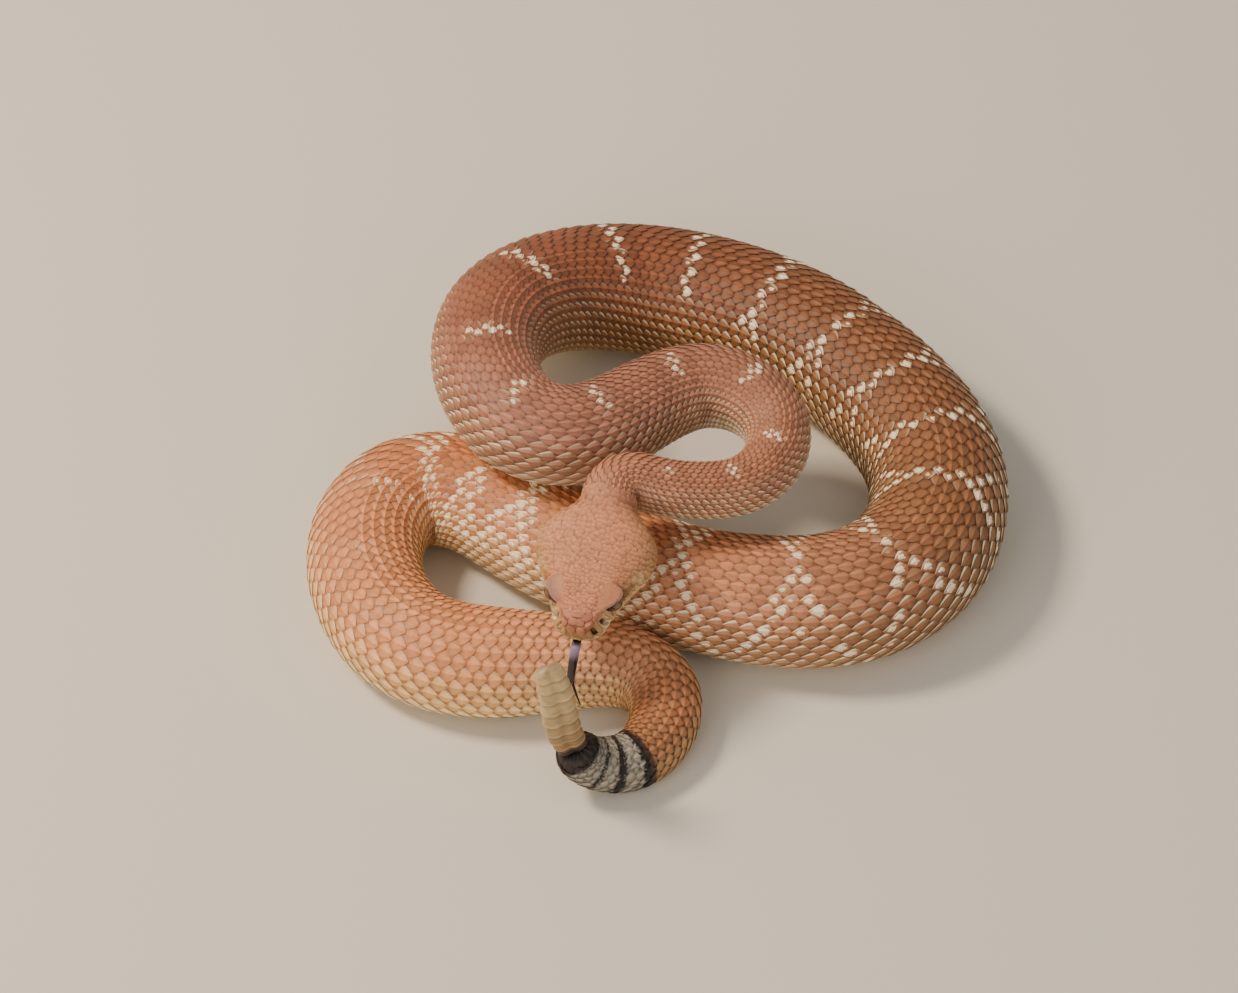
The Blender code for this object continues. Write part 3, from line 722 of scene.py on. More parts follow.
# Keratin scale, grown and dry: satin, with painted shade in the groove round it on the back and head scales,
# often pale along its upper rear edge or in its middle, with fine pores and ridges along it
def makeScaleMaterial(name, roughness, mottling, keelPaintedShade):
    made, tree, shader = startMaterial(name, {"Roughness": roughness, "IOR": 1.5, "Specular IOR Level": 0.42})
    tone, rim, edge, fleck = (
        addNode(tree, "Attribute", {"attribute_name": each}) for each in ("tone", "rim", "edge", "fleck")
    )
    place = addNode(tree, "TexCoord").outputs["Object"]
    face = addNode(tree, "UVMap", {"uv_map": "scaleFace"})
    parts = addNode(tree, "SeparateXYZ", {}, {"Vector": face})
    # From root to tip, and from the upper side to the lower
    down, over = parts.outputs["X"], parts.outputs["Y"]
    # Groove: the sides and the tip
    off = addNode(tree, "Math", {"operation": "SUBTRACT"}, {0: over, 1: 0.5})
    wide = addNode(tree, "Math", {"operation": "ABSOLUTE"}, {0: off})
    sides = addNode(tree, "MapRange", smooth, {"From Min": 0.36, "From Max": 0.5, "Value": wide})
    tip = addNode(tree, "MapRange", smooth, {"From Min": 0.84, "From Max": 1.0, "Value": down})
    groove = addNode(tree, "Math", {"operation": "MAXIMUM"}, {0: sides, 1: tip})
    rimShare = addNode(tree, "Math", {"operation": "MULTIPLY"}, {0: groove, 1: 0.7})
    rimmed = addNode(tree, "Mix", colourMix, {0: rimShare, 6: tone, 7: rim})
    # The upper edge of the free half
    upper = addNode(tree, "MapRange", smooth, {"From Min": 0.13, "From Max": 0.26, **falling, "Value": over})
    free = addNode(tree, "MapRange", smooth, {"From Min": 0.4, "From Max": 0.55, "Value": down})
    edgeShare = addNode(tree, "Math", {"operation": "MULTIPLY"}, {0: upper, 1: free})
    edged = addNode(tree, "Mix", colourMix, {0: edgeShare, 6: rimmed.outputs[2], 7: edge})
    # A pale spot in the middle of the free part, larger where the mark is strong, with a crumbling edge
    centred = addNode(tree, "VectorMath", {"operation": "SUBTRACT"}, {0: face, 1: (0.73, 0.5, 0)})
    shaped = addNode(tree, "VectorMath", {"operation": "MULTIPLY"}, {0: centred, 1: (6.2, 4.0, 0)})
    outOf = addNode(tree, "VectorMath", {"operation": "LENGTH"}, {0: shaped}).outputs["Value"]
    crumbs = addNode(tree, "TexNoise", {}, {"Scale": 1100.0, "Detail": 2.0, "Vector": place})
    size = fleck.outputs["Fac"]
    level = addNode(tree, "Math", {"operation": "MULTIPLY_ADD"}, {0: size, 1: 1.5, 2: crumbs})
    there = addNode(tree, "MapRange", smooth, {"From Min": 0.9, "From Max": 1.3, "Value": level})
    ragged = addNode(tree, "Math", {"operation": "MULTIPLY_ADD"}, {0: crumbs, 1: 1.7, 2: outOf})
    beyond = addNode(tree, "Math", {"operation": "SUBTRACT"}, {0: ragged, 1: size})
    span = {"From Min": 0.75, "From Max": 1.05, **falling}
    inside = addNode(tree, "MapRange", smooth, {**span, "Value": beyond})
    fleckShare = addNode(tree, "Math", {"operation": "MULTIPLY"}, {0: there, 1: inside})
    mixed = addNode(tree, "Mix", colourMix, {0: fleckShare, 6: edged.outputs[2], 7: (*pale, 1)})
    # Mottle about 1.4 mm across, pores about 0.3 mm across, painted shade at the covered root, and a keel
    # painted lighter on its upper face and darker on its lower face, as light falls on it
    mottle = addNode(tree, "TexNoise", {}, {"Scale": 700.0, "Detail": 3.0, "Vector": place})
    pores = addNode(tree, "TexNoise", {}, {"Scale": 3200.0, "Detail": 2.0, "Vector": place})
    shades = (
        (mottle, {}, 0.3, 0.7, 1 - mottling, 1 + mottling),
        (pores, {}, 0.34, 0.5, 0.8, 1.03),
        (over, smooth, 0.45, 0.55, 1 + 0.5 * keelPaintedShade, 1 - keelPaintedShade),
        (down, smooth, 0.42, 0.66, 0.8, 1.03),
    )
    shade = 1.0
    for source, way, start, end, first, last in shades:
        takes = {"From Min": start, "From Max": end, "To Min": first, "To Max": last, "Value": source}
        step = addNode(tree, "MapRange", way, takes)
        shade = addNode(tree, "Math", {"operation": "MULTIPLY"}, {0: shade, 1: step})
    span = {"To Min": roughness - 0.1, "To Max": roughness + 0.14}
    rough = addNode(tree, "MapRange", {}, {**span, "Value": mottle})
    tree.links.new(rough.outputs[0], shader.inputs["Roughness"])
    # Striae along the scale, 16 to its width, and the pores, as bump
    ridges = addNode(tree, "Math", {"operation": "MULTIPLY"}, {0: over, 1: 2 * math.pi * 16})
    wave = addNode(tree, "Math", {"operation": "SINE"}, {0: ridges})
    height = addNode(tree, "Math", {"operation": "MULTIPLY_ADD"}, {0: wave, 1: 0.12, 2: pores})
    finishMaterial(tree, shader, mixed.outputs[2], shade, height, 0.35, 0.00012)
    return made


scaleKeratin = makeScaleMaterial("keeledKeratin", 0.5, 0.09, 0.17)
bellyKeratin = makeScaleMaterial("smoothBellyKeratin", 0.4, 0.07, 0.0)
headKeratin = makeScaleMaterial("granularHeadKeratin", 0.55, 0.07, 0.0)
# Thin skin between the scales: matte, with wrinkles about 0.6 mm apart
wrinkledSkin = makeGrainedMaterial(
    "wrinkledSkin", {"Roughness": 0.7, "IOR": 1.45, "Specular IOR Level": 0.3},
    {"Scale": 1600.0, "Detail": 4.0}, (0.75, 1.15), 0.5, 0.0002,
)

dorsal = {
    "rows": 14,  # on each side of the row along the spine
    "share": 0.775,  # of the way from back to belly
    "first": -3.0,
    "lastStop": 2.2,  # before the line's end
    "last": 1.2,
    "outerRows": (  # row, where it comes in behind the neck, over what length, where it ends before the tail
        (14, 150, 60, 640, 60), (13, 95, 50, 668, 60), (12, 50, 40, 700, 60), (11, 700, 60), (10, 750, 50),
        (9, 800, 40), (8, 835, 40),
    ),
    "pitch": (
        (-4, 2.5), (60, 2.8), (120, 3.4), (220, 4.2), (340, 4.75), (560, 4.75), (700, 4.4), (800, 3.9),
        (860, 3.2), (906, 2.3),
    ),
    "lengthShare": 1.8,
    "widthShare": 1.46,
    "edgeWidth": 1.12,  # the lowest row is wider, where it meets the belly plates
    "root": -0.72,
    "tip": -0.25,
    "bare": 0.44,  # share of the scale that the ones before it cover
    "dome": 0.06,
    "keel": 0.19,
    "along": (0.0, 0.3, 0.5, 0.68, 0.83, 0.94, 1.0),
    "across": (-1.0, -0.7, -0.16, 0.0, 0.16, 0.7, 1.0),
}


# Skin: one closed surface from snout to tail
skinMesh = {
    "around": 128,
    "headStep": 0.36,
    "bodyStep": 2.4,
    "bodyStart": 0.4,
    "noseRings": 15,
    "noseReach": 0.055,  # of the head's length
    "tailRings": 10,
    "tailReach": 3.3,
    "dim": 0.74,  # the skin between the head's scales is darker than they are: its own colour and painted shade in the gaps
    "hollowShades": (  # place, how far its painted shade reaches
        (headShape["pit"], 0.95), (headShape["nostril"], 1.3), (eyePlace, 3.2),
    ),
    "notch": (50.5, -3.3),
}


# Places along the snake that the skin's rings take, closer where the nose and the tail close
def skinStops(tip):
    quarter = np.linspace(0, math.pi / 2, skinMesh["noseRings"] + 1)[1:]
    nose = tip * (1 - (1 - np.cos(quarter)) * skinMesh["noseReach"])
    head = np.arange(nose[-1] - skinMesh["headStep"], 0, -skinMesh["headStep"])
    quarter = np.linspace(0, math.pi / 2, skinMesh["tailRings"])
    tail = bodyEnd - skinMesh["tailReach"] * (1 - np.sin(quarter))
    body = np.arange(skinMesh["bodyStart"], tail[0] - 0.3, skinMesh["bodyStep"])
    return np.concatenate([-nose, -head, body, tail])


def makeSkin():
    tip = headShape["length"] * sum(headShape["noseRound"]) - 0.02
    stops = skinStops(tip)
    count, around = len(stops), skinMesh["around"]
    s, u = np.meshgrid(stops, -1 + 2 * (np.arange(around) + 0.5) / around, indexing="ij")
    rings = lifted(s, u, -bodyShape["skinDepth"])
    firstPole = headPoint(tip - bodyShape["skinDepth"], 0, 0).reshape(1, 3)
    points = np.vstack([rings.reshape(-1, 3), firstPole, rings[-1].mean(axis=0)])
    i, k = np.meshgrid(np.arange(count - 1), np.arange(around), indexing="ij")
    a, b = i * around + k, i * around + (k + 1) % around
    quads = np.stack([a, a + around, b + around, b], -1)
    # Both ends close on a pole
    k = np.arange(around)
    after = (k + 1) % around
    poles, last = count * around, (count - 1) * around
    fore = np.stack([0 * k + poles, k, after], -1)
    rear = np.stack([0 * k + poles + 1, last + after, last + k], -1)
    corners = np.concatenate([faces.ravel() for faces in (quads, fore, rear)])
    totals = np.repeat((4, 3), (a.size, 2 * around))
    made = meshFrom("skin", points, corners, totals, wrinkledSkin)
    tone = skinColours(s, u)
    onHead = s < 2
    x, y, z = headLocal(s[onHead], u[onHead])
    face = headTone(x, y, z) * skinMesh["dim"]
    # Painted shade along the mouth's line, in the eye socket, pit and nostril, and in the notch for the
    # tongue
    hollowShade = np.exp(-(((z - mouthHeight(x)) / 0.35) ** 2)) * mouthParted(x)
    for place, reachOf in skinMesh["hollowShades"]:
        away = featureAway(x, y, z, place, 0.25)
        hollowShade = np.maximum(hollowShade, 1 - smoothStep(away, reachOf * 0.8, reachOf * 1.15))
    away = np.sqrt((x - skinMesh["notch"][0]) ** 2 + y**2 + ((z - skinMesh["notch"][1]) * 1.5) ** 2)
    hollowShade = np.maximum(hollowShade, 1 - smoothStep(away, 1.5, 2.2))
    face = blend(face, headColours["hollowShade"], hollowShade)
    tone[onHead] = blend(face, tone[onHead], smoothStep(s[onHead], -2, 2))
    addColours(made, "tone", np.vstack([tone.reshape(-1, 3), headColours["hollowShade"], headColours["hollowShade"]]))
    return made


skin = makeSkin()
skinNodes = ["head", "lower_jaw", "neck", "neck_loop", *[f"body_{k}" for k in range(1, 9)], "tail"]
finishPiece(skin, skinNodes)
print("skin", len(skin.data.polygons), "faces")


# Scales: closed plates that follow the surface, root sunk in the skin and tip lying over the next
def plateFaces(rows, columns):
    faces = []
    for i in range(rows - 1):
        for j in range(columns - 1):
            a = i * columns + j
            faces.append((a, a + columns, a + columns + 1, a + 1))
    top = len(faces)
    for i in range(rows - 1):
        a = i * columns
        faces.append((a, a + columns - 1, a + 2 * columns - 1, a + columns))
    faces.append(tuple(range(columns)))
    faces.append(tuple(range(rows * columns - 1, (rows - 1) * columns - 1, -1)))
    return faces, top


# Where each corner of a plate lies in its own cell of the bake map: its face, then its underside and ends
def plateCell(faces, top, columns, along, across):
    cell = []
    for index, face in enumerate(faces):
        for vertex in face:
            i, j = divmod(vertex, columns)
            if index < top:
                cell.append((0.03 + 0.94 * along[i], 0.2 + 0.77 * (across[j] / 2 + 0.5)))
            elif index < len(faces) - 2:
                cell.append((0.08 + 0.84 * along[i], 0.03 if j == 0 else 0.13))
            else:
                bow = 0.035 * math.sin(math.pi * j / (columns - 1))
                cell.append((0.02 + bow if i == 0 else 0.98 - bow, 0.03 + 0.1 * j / (columns - 1)))
    return np.array(cell)


# A cell of the bake map for each of a number of plates: where each starts, and its size
def gridCells(count, columns, rows):
    row, column = np.divmod(np.arange(count), columns)
    return column / columns, row / rows, 1 / columns, 1 / rows


# Half width of a plate, from its root (0) to its tip (1)
def pointedOutline(a):
    front = 0.5 + 0.5 * smoothStep(a, 0, 0.5)
    tail = np.clip(1 - (np.clip(a - 0.5, 0, None) / 0.5) ** 1.7, 0, 1) ** 0.8
    return np.maximum(front * tail, 0.09)


def roundOutline(a):
    front = 0.62 + 0.38 * smoothStep(a, 0, 0.42)
    tail = np.sqrt(np.clip(1 - (np.clip(a - 0.42, 0, None) / 0.585) ** 2.3, 0.012, 1))
    return front * tail


# cells: where each plate's own cell of the bake map starts, and its size
def makeScales(name, material, s, u, length, width, cells, colours, sizes, outline=pointedOutline, keel=1.0):
    along, across = np.array(sizes["along"]), np.array(sizes["across"])
    rows, columns = len(along), len(across)
    count, each = len(s), rows * columns
    a = np.repeat(along, columns)[None, :]
    b = np.tile(across, rows)[None, :]
    perS, perU = stretch(s, u)
    sGrid = s[:, None] + a * (length / perS)[:, None]
    uGrid = u[:, None] + 0.5 * b * outline(a) * (width / perU)[:, None]
    crown = (1 - np.abs(b) ** 2.4) * smoothStep(a, 0, 0.7) * (1 - smoothStep(a, 0.75, 1.0))
    ridge = np.exp(-((b / 0.1) ** 2)) * smoothStep(a, 0.3, 0.6) * (1 - smoothStep(a, 0.9, 1.0))
    bare = sizes["bare"]
    rise = 0.25 * np.clip(a / bare, 0, 1) + 0.75 * smoothStep(a, bare, 0.93)
    lift = sizes["root"] + (sizes["tip"] - sizes["root"]) * rise
    lift = lift + (sizes["dome"] * crown + sizes["keel"] * ridge) * np.reshape(keel, (-1, 1))
    points = lifted(sGrid, uGrid, lift)
    faces, top = plateFaces(rows, columns)
    corners, totals = flatFaces(faces)
    allCorners = (corners[None, :] + np.arange(count)[:, None] * each).ravel()
    made = meshFrom(name, points.reshape(-1, 3), allCorners, np.tile(totals, count), material)
    cell = plateCell(faces, top, columns, along, across)
    x, y, wide, tall = (np.broadcast_to(v, count)[:, None] for v in cells)
    addUv(made, "OFBake", np.stack([x + wide * cell[None, :, 0], y + tall * cell[None, :, 1]], -1))
    i, j = np.divmod(corners, columns)
    own = np.stack([np.tile(along[i], (count, 1)), across[j] / 2 * np.where(u < 0, -1, 1)[:, None] + 0.5], -1)
    addUv(made, "scaleFace", own.reshape(-1, 2))
    tone, rim, edge, fleck = (np.repeat(value, each, axis=0) for value in colours)
    flat = sGrid.ravel()
    if flat.max() > ringPlaces[0]:
        grain = 0.6 * rng.random(len(flat)) + 0.4 * np.repeat(rng.random(count), each)
        tone, rim, edge = ringTail(flat, grain, tone, rim, edge)
    addLooks(made, tone, rim, edge, fleck)
    made.data.set_sharp_from_angle(angle=math.radians(50))
    return made


# Weight of each row at a place: rows come in behind the neck and end before the tail
def rowWeights(s):
    weights = np.ones((dorsal["rows"] + 1, len(s)))
    for row, *comesIn, end, over in dorsal["outerRows"]:
        weights[row] = 1 - smoothStep(s, end, end + over)
        if comesIn:
            start, length = comesIn
            weights[row] = smoothStep(s, start, start + length) * weights[row]
    return weights


# Places along the body a pitch apart, from the first to the last
def pitchedStops(first, last, pitch):
    stops = [first]
    while stops[-1] < last:
        stops.append(stops[-1] + float(np.interp(stops[-1], *pitch)))
    return np.array(stops)


def dorsalPlaces():
    pitches = tuple(zip(*dorsal["pitch"]))
    stops = pitchedStops(dorsal["first"], bodyLength - dorsal["lastStop"], pitches)
    column = np.arange(len(stops))
    pitch = np.interp(stops, *pitches)
    found = []
    for row in range(-dorsal["rows"], dorsal["rows"] + 1):
        s = stops + (0.5 * pitch if row % 2 else 0)
        weights = rowWeights(s)
        whole = weights[0] * 0.5 + weights[1:].sum(axis=0)
        n = abs(row)
        inner = weights[0] * 0.5 + weights[1:n].sum(axis=0) if n else 0 * s
        side = (inner + (0.5 * weights[n] if n else 0)) / whole
        u = np.sign(row) * side * dorsal["share"]
        keep = (weights[n] > 0.3) & (s < bodyLength - dorsal["last"])
        wide = dorsal["share"] / whole * np.maximum(weights[n], 0.75)
        if n == int((weights[:, len(s) // 2] > 0.5).sum()) - 1:
            wide = wide * dorsal["edgeWidth"]
        found.append(np.column_stack([s, u, pitch, wide, column, np.full(len(s), row), side])[keep])
    return np.vstack(found), len(stops)


# Back scales, in four pieces along the body
def makeDorsal():
    found, columns = dorsalPlaces()
    seeds = rng.random((5, len(found)))
    parts, rows = 4, dorsal["rows"]
    limits = np.linspace(0, columns, parts + 1).round().astype(int)
    for part in range(parts):
        first, last = limits[part : part + 2]
        pick = (found[:, 4] >= first) & (found[:, 4] < last)
        s, u, pitch, wide, column, row, side = found[pick].T
        seed = seeds[:, pick]
        perS, perU = stretch(s, u)
        length = pitch * dorsal["lengthShare"] * perS**0.75 * (0.97 + 0.06 * seed[4])
        length = np.minimum(length, (bodyEnd - s) * perS)
        width = wide * perU * dorsal["widthShare"]
        colours = scaleColours(s + 0.45 * pitch, side * rows, seed)
        across, tall = 1 / (last - first + 0.5), 1 / (2 * rows + 1)
        cells = ((column - first + 0.5 * (row % 2)) * across, (row + rows) * tall, across, tall)
        keel = (0.75 + 0.5 * (1 - side)) * np.clip(pitch / 4.4, 0.7, 1)
        name = f"backScales{part + 1}"
        made = makeScales(name, scaleKeratin, s, u, length, width, cells, colours, dorsal, keel=keel)
        finishPiece(made)
        print(made.name, len(s), "scales")


makeDorsal()

# Belly plates: one broad plate to each step, overlapping towards the tail
belly = {
    "first": 2.0,
    "last": 4,  # before the line's end
    "pitch": dorsal["pitch"],
    "colour": "#E8D6AE",
    "lengthShare": 1.42,
    "overlap": 0.03,
    "root": -0.8,
    "tip": -0.12,
    "bare": 0.3,
    "dome": 0.05,
    "keel": 0.0,
    "along": (0.0, 0.3, 0.6, 0.8, 0.93, 1.0),
    "across": (-1.0, -0.96, -0.86, -0.72, -0.56, -0.38, -0.19, 0.0, 0.19, 0.38, 0.56, 0.72, 0.86, 0.96, 1.0),
    "mapCells": (34, 7),
}


def broadOutline(a):
    return 0.94 + 0.06 * smoothStep(a, 0, 0.5) - 0.1 * smoothStep(a, 0.75, 1.0)


def makeBelly():
    pitches = tuple(zip(*belly["pitch"]))
    s = pitchedStops(belly["first"], bodyLength - belly["last"], pitches)
    u = np.ones(len(s))
    perS, perU = stretch(s, u)
    length = np.minimum(np.interp(s, *pitches) * belly["lengthShare"], bodyEnd - s) * perS
    width = 2 * (1 - dorsal["share"] + belly["overlap"]) * perU
    seeds = rng.random((3, len(s)))
    low = alongColours(s, groundColoursWithPaintedLight[2])
    tone = blend(low, linear(belly["colour"]), 0.6) * (0.92 + 0.12 * seeds[0])[:, None]
    tone = np.where((s > ringPlaces[0])[:, None], ringColours[ringAt(s)] * 0.9, tone)
    rim = blend(tone, pale, 0.55)
    cells = gridCells(len(s), *belly["mapCells"])
    looks = (tone, rim, rim, 0 * s)
    made = makeScales(
        "bellyPlates", bellyKeratin, s, u, length, width, cells, looks, belly, outline=broadOutline
    )
    finishPiece(made)
    print("bellyPlates", len(s), "plates")


makeBelly()

# Head scales: small grains that grow from the snout to the nape
grains = {
    "first": 50.1,  # ahead
    "last": -0.5,
    "size": ((0, 2.1), (10, 1.85), (20, 1.6), (30, 1.4), (38, 1.25), (43, 1.4), (51, 1.5)),  # ahead, mm
    "stray": (0.36, 0.24),  # how far a grain may lie from its even place, as a share of its size
    "clear": ((eyePlace, 3.9), (headShape["pit"], 1.3), (headShape["nostril"], 1.2)),  # place, distance
    "browPlate": (37.4, 8.3, 3.8, 2.25, 5),  # ahead, across, their reaches, and the rise above which it lies
    "lipRows": (2.5, 9),  # from the mouth's line, and from how far ahead
    "snoutShields": ((48.6, -3), (45.5, 3.6)),  # from how far ahead, above what rise
    "lengthShare": 1.62,
    "widthShare": 1.36,
    "root": -0.66,
    "tip": -0.27,
    "bare": 0.3,
    "dome": 0.09,
    "keel": 0.04,
    "along": (0.0, 0.3, 0.58, 0.8, 0.94, 1.0),
    "across": (-1.0, -0.72, 0.0, 0.72, 1.0),
}


# Places on the head that grains may take: not the eyes, pits, nostrils, brows, lips and snout shields
def clearOfFeatures(x, y, z):
    keep = np.ones(len(x), bool)
    for place, distance in grains["clear"]:
        keep &= featureAway(x, y, z, place, 0.3) > distance
    browX, browY, reachX, reachY, browZ = grains["browPlate"]
    onBrow = ((x - browX) / reachX) ** 2 + ((np.abs(y) - browY) / reachY) ** 2 < 1
    keep &= ~(onBrow & (z > browZ))
    tall, start = grains["lipRows"]
    keep &= ~((np.abs(z - mouthHeight(x)) < tall) & (x > start))
    for start, rise in grains["snoutShields"]:
        keep &= ~((x > start) & (z > rise))
    return keep


# Rings of grains round the head: place, size, ring, and its cell across the bake map
def grainPlaces():
    sizes = tuple(zip(*grains["size"]))
    stops = []
    x = grains["first"]
    while x > grains["last"]:
        stops.append(x)
        x -= float(np.interp(x, *sizes)) * 0.98
    tries = np.linspace(-1, 1, 721)
    found = []
    for k, x in enumerate(stops):
        ring = surface(np.full(len(tries), -x), tries)
        run = np.concatenate([[0], np.cumsum(np.linalg.norm(np.diff(ring, axis=0), axis=1))])
        size = float(np.interp(x, *sizes))
        count = max(6, int(round(run[-1] / size)))
        at = (np.arange(count) + (0.5 if k % 2 else 0.0) + 0.25) / count
        u = np.interp(at * run[-1], run, tries)
        ones, cellY = np.ones(count), np.arange(count) / count
        found.append(np.column_stack([-x * ones, u, size * ones, k * ones, cellY, ones / count]))
    return np.vstack(found).T, 1 / len(stops)


def makeGrains():
    (s, u, size, ring, cellY, tall), wide = grainPlaces()
    stray = rng.uniform(-1, 1, (2, len(s)))
    s = s + (stray[0] * grains["stray"][0] - 0.45) * size
    u = u + stray[1] * grains["stray"][1] * size / stretch(s, u)[1]
    size = size * rng.uniform(0.86, 1.16, len(s))
    x, y, z = headLocal(s + size * 0.7, u)
    keep = clearOfFeatures(x, y, z)
    s, u, size, ring, cellY, tall, x, y, z = (v[keep] for v in (s, u, size, ring, cellY, tall, x, y, z))
    seeds = rng.random((3, len(s)))
    tone = headTone(x, y, z) * (0.9 + 0.2 * seeds[0])[:, None]
    # Rims darker than the grain: painted shade towards the grooves
    rim = tone * (0.76 + 0.18 * seeds[1])[:, None]
    made = makeScales(
        "headGrains", headKeratin, s, u, size * grains["lengthShare"], size * grains["widthShare"],
        (ring * wide, cellY, wide, tall), (tone, rim, rim, 0 * s), grains, outline=roundOutline,
    )
    finishPiece(made)
    print("headGrains", len(s), "scales")


makeGrains()

# Small scales in a ring round each eye, open above, where the brow plate is
eyeRing = {
    **grains,
    "count": 13,
    "radius": 3.75,
    "from": -200,
    "to": 22,
    "size": 1.5,
    "tip": -0.2,
    "dome": 0.3,
    "mapCells": (6, 6),
}


def makeEyeRing():
    turn = np.radians(np.linspace(eyeRing["from"], eyeRing["to"], eyeRing["count"]))
    x = eyePlace[0] + eyeRing["radius"] * np.cos(turn)
    z = eyePlace[2] + eyeRing["radius"] * np.sin(turn)
    u = np.concatenate([sideAt(x, z, side) for side in (-1, 1)])
    x, z = np.tile(x, 2), np.tile(z, 2)
    length = np.full(len(x), eyeRing["size"])
    tone = headTone(x, headLocal(-x, u)[1], z) * rng.uniform(0.85, 1.1, (len(x), 1))
    cells = gridCells(len(x), *eyeRing["mapCells"])
    # Rims darker: painted shade towards the grooves
    looks = (tone, tone * 0.5, tone * 0.5, 0 * x)
    made = makeScales(
        "eyeRingScales", headKeratin, -x - length / 2, u, length, length, cells, looks, eyeRing,
        outline=roundOutline,
    )
    finishPiece(made)


makeEyeRing()

# Shields of the snout: broad smooth plates, each set by its direction from a point inside the muzzle
shields = {
    "centre": (42.5, 0.0, 0.5),
    # share of its reach, lift in mm
    "rows": ((0.45, 0.49), (0.75, 0.43), (0.93, 0.28), (1.0, 0.02), (1.0, -0.4)),
    "sides": 20,
    "power": 2.7,
    "mapCells": 5,  # each way
    "plates": (  # degrees to the side, degrees up, half width, half height
        (0, -10, 13, 12), (13, 22, 11.5, 14), (12.5, 47, 12, 10.5), (33, 6, 8.5, 13), (61, 7, 8, 12),
        (40, 34, 13, 10.5), (26, -15, 10, 8), (0, -42, 11, 7), (21, -42, 9, 7.5), (47, 54, 17, 9),
        (15, 64, 16, 6.5), (66, 34, 11, 9),
    ),
}


# The way from inside the muzzle, by degrees to the side and up, with widths kept where it is steep
def muzzleWay(side, offSide, climb):
    climb = math.radians(climb)
    bearing = math.radians(side + offSide / max(math.cos(climb), 0.35))
    flat = math.cos(climb)
    return ahead * (flat * math.cos(bearing)) + left * (flat * math.sin(bearing)) + up * math.sin(climb)


def makeShields():
    tree = BVHTree.FromObject(skin, bpy.context.evaluated_depsgraph_get())
    middle = Vector(headPoint(*shields["centre"]) * mm)
    rows, sides = shields["rows"], shields["sides"]
    turn = 2 * math.pi * np.arange(sides) / sides
    wide, tall = (np.sign(v) * np.abs(v) ** (2 / shields["power"]) for v in (np.cos(turn), np.sin(turn)))
    plates = [(side * way, *rest) for side, *rest in shields["plates"] for way in ((1, -1) if side else (1,))]
    each = len(rows) * sides
    points, faces, tones, across = [], [], [], []
    for side, climb, halfWide, halfTall in plates:
        first = len(points)
        for reachOf, lift in rows:
            for p, q in zip(wide * reachOf * halfWide, tall * reachOf * halfTall):
                way = muzzleWay(side, p, climb + q)
                hit = tree.ray_cast(middle, Vector(way))[0]
                points.append(np.array(hit) / mm + way * lift)
                across.append(0.5 + reachOf / 2)
        faces.append(tuple(first + k for k in range(sides)))
        for i in range(len(rows) - 1):
            for k in range(sides):
                a, b = first + i * sides + k, first + i * sides + (k + 1) % sides
                faces.append((b, a, a + sides, b + sides))
        faces.append(tuple(first + each - sides + k for k in range(sides - 1, -1, -1)))
        where = np.mean(points[first:], axis=0) - line[0]
        tone = headTone(*(np.array([where @ axis]) for axis in (ahead, left, up)))[0]
        tones += [tone * rng.uniform(0.92, 1.06)] * each
    tones = np.array(tones)
    corners, totals = flatFaces(faces)
    made = meshFrom("snoutShields", np.array(points), corners, totals, headKeratin)
    plate, place = np.divmod(corners, each)
    addUv(made, "scaleFace", np.column_stack([np.full(len(corners), 0.3), np.array(across)[corners]]))
    # Each shield takes a round cell, with its sunk rim just outside the last row of its face
    row = place // sides
    near = 0.46 * np.array([reachOf for reachOf, _ in rows])[row] + 0.02 * (row == len(rows) - 1)
    angle = turn[place % sides]
    cellY, cellX = np.divmod(plate, shields["mapCells"])
    own = np.column_stack([cellX + 0.5 + near * np.cos(angle), cellY + 0.5 + near * np.sin(angle)])
    addUv(made, "OFBake", own / shields["mapCells"])
    # Rims darker: painted shade towards the grooves round the shields
    addLooks(made, tones, tones * 0.45, tones * 0.45, np.zeros(len(points)))
    made.data.set_sharp_from_angle(angle=math.radians(60))
    finishPiece(made)
    print("snoutShields", len(plates), "shields")


makeShields()

# Lip plates: a row above the mouth's line and a row below it
lips = {
    "perSide": 15,
    "from": 9.5,
    "to": 49.2,
    "upper": 2.7,
    "lower": 2.3,
    "growth": 1.12,  # each plate is longer than the one ahead of it, by this power
    "fromLine": 0.28,
    "lengthShare": 1.02,
    "widthShare": 1.04,
    "root": -0.52,
    "tip": -0.38,
    "bare": 0.3,
    "dome": 0.22,
    "keel": 0.0,
    "along": (0.0, 0.12, 0.35, 0.65, 0.88, 1.0),
    "across": (-1.0, -0.84, -0.4, 0.4, 0.84, 1.0),
    "mapCells": (8, 8),
}


def squareOutline(a):
    return 0.9 + 0.1 * (1 - np.abs(2 * a - 1) ** 4)


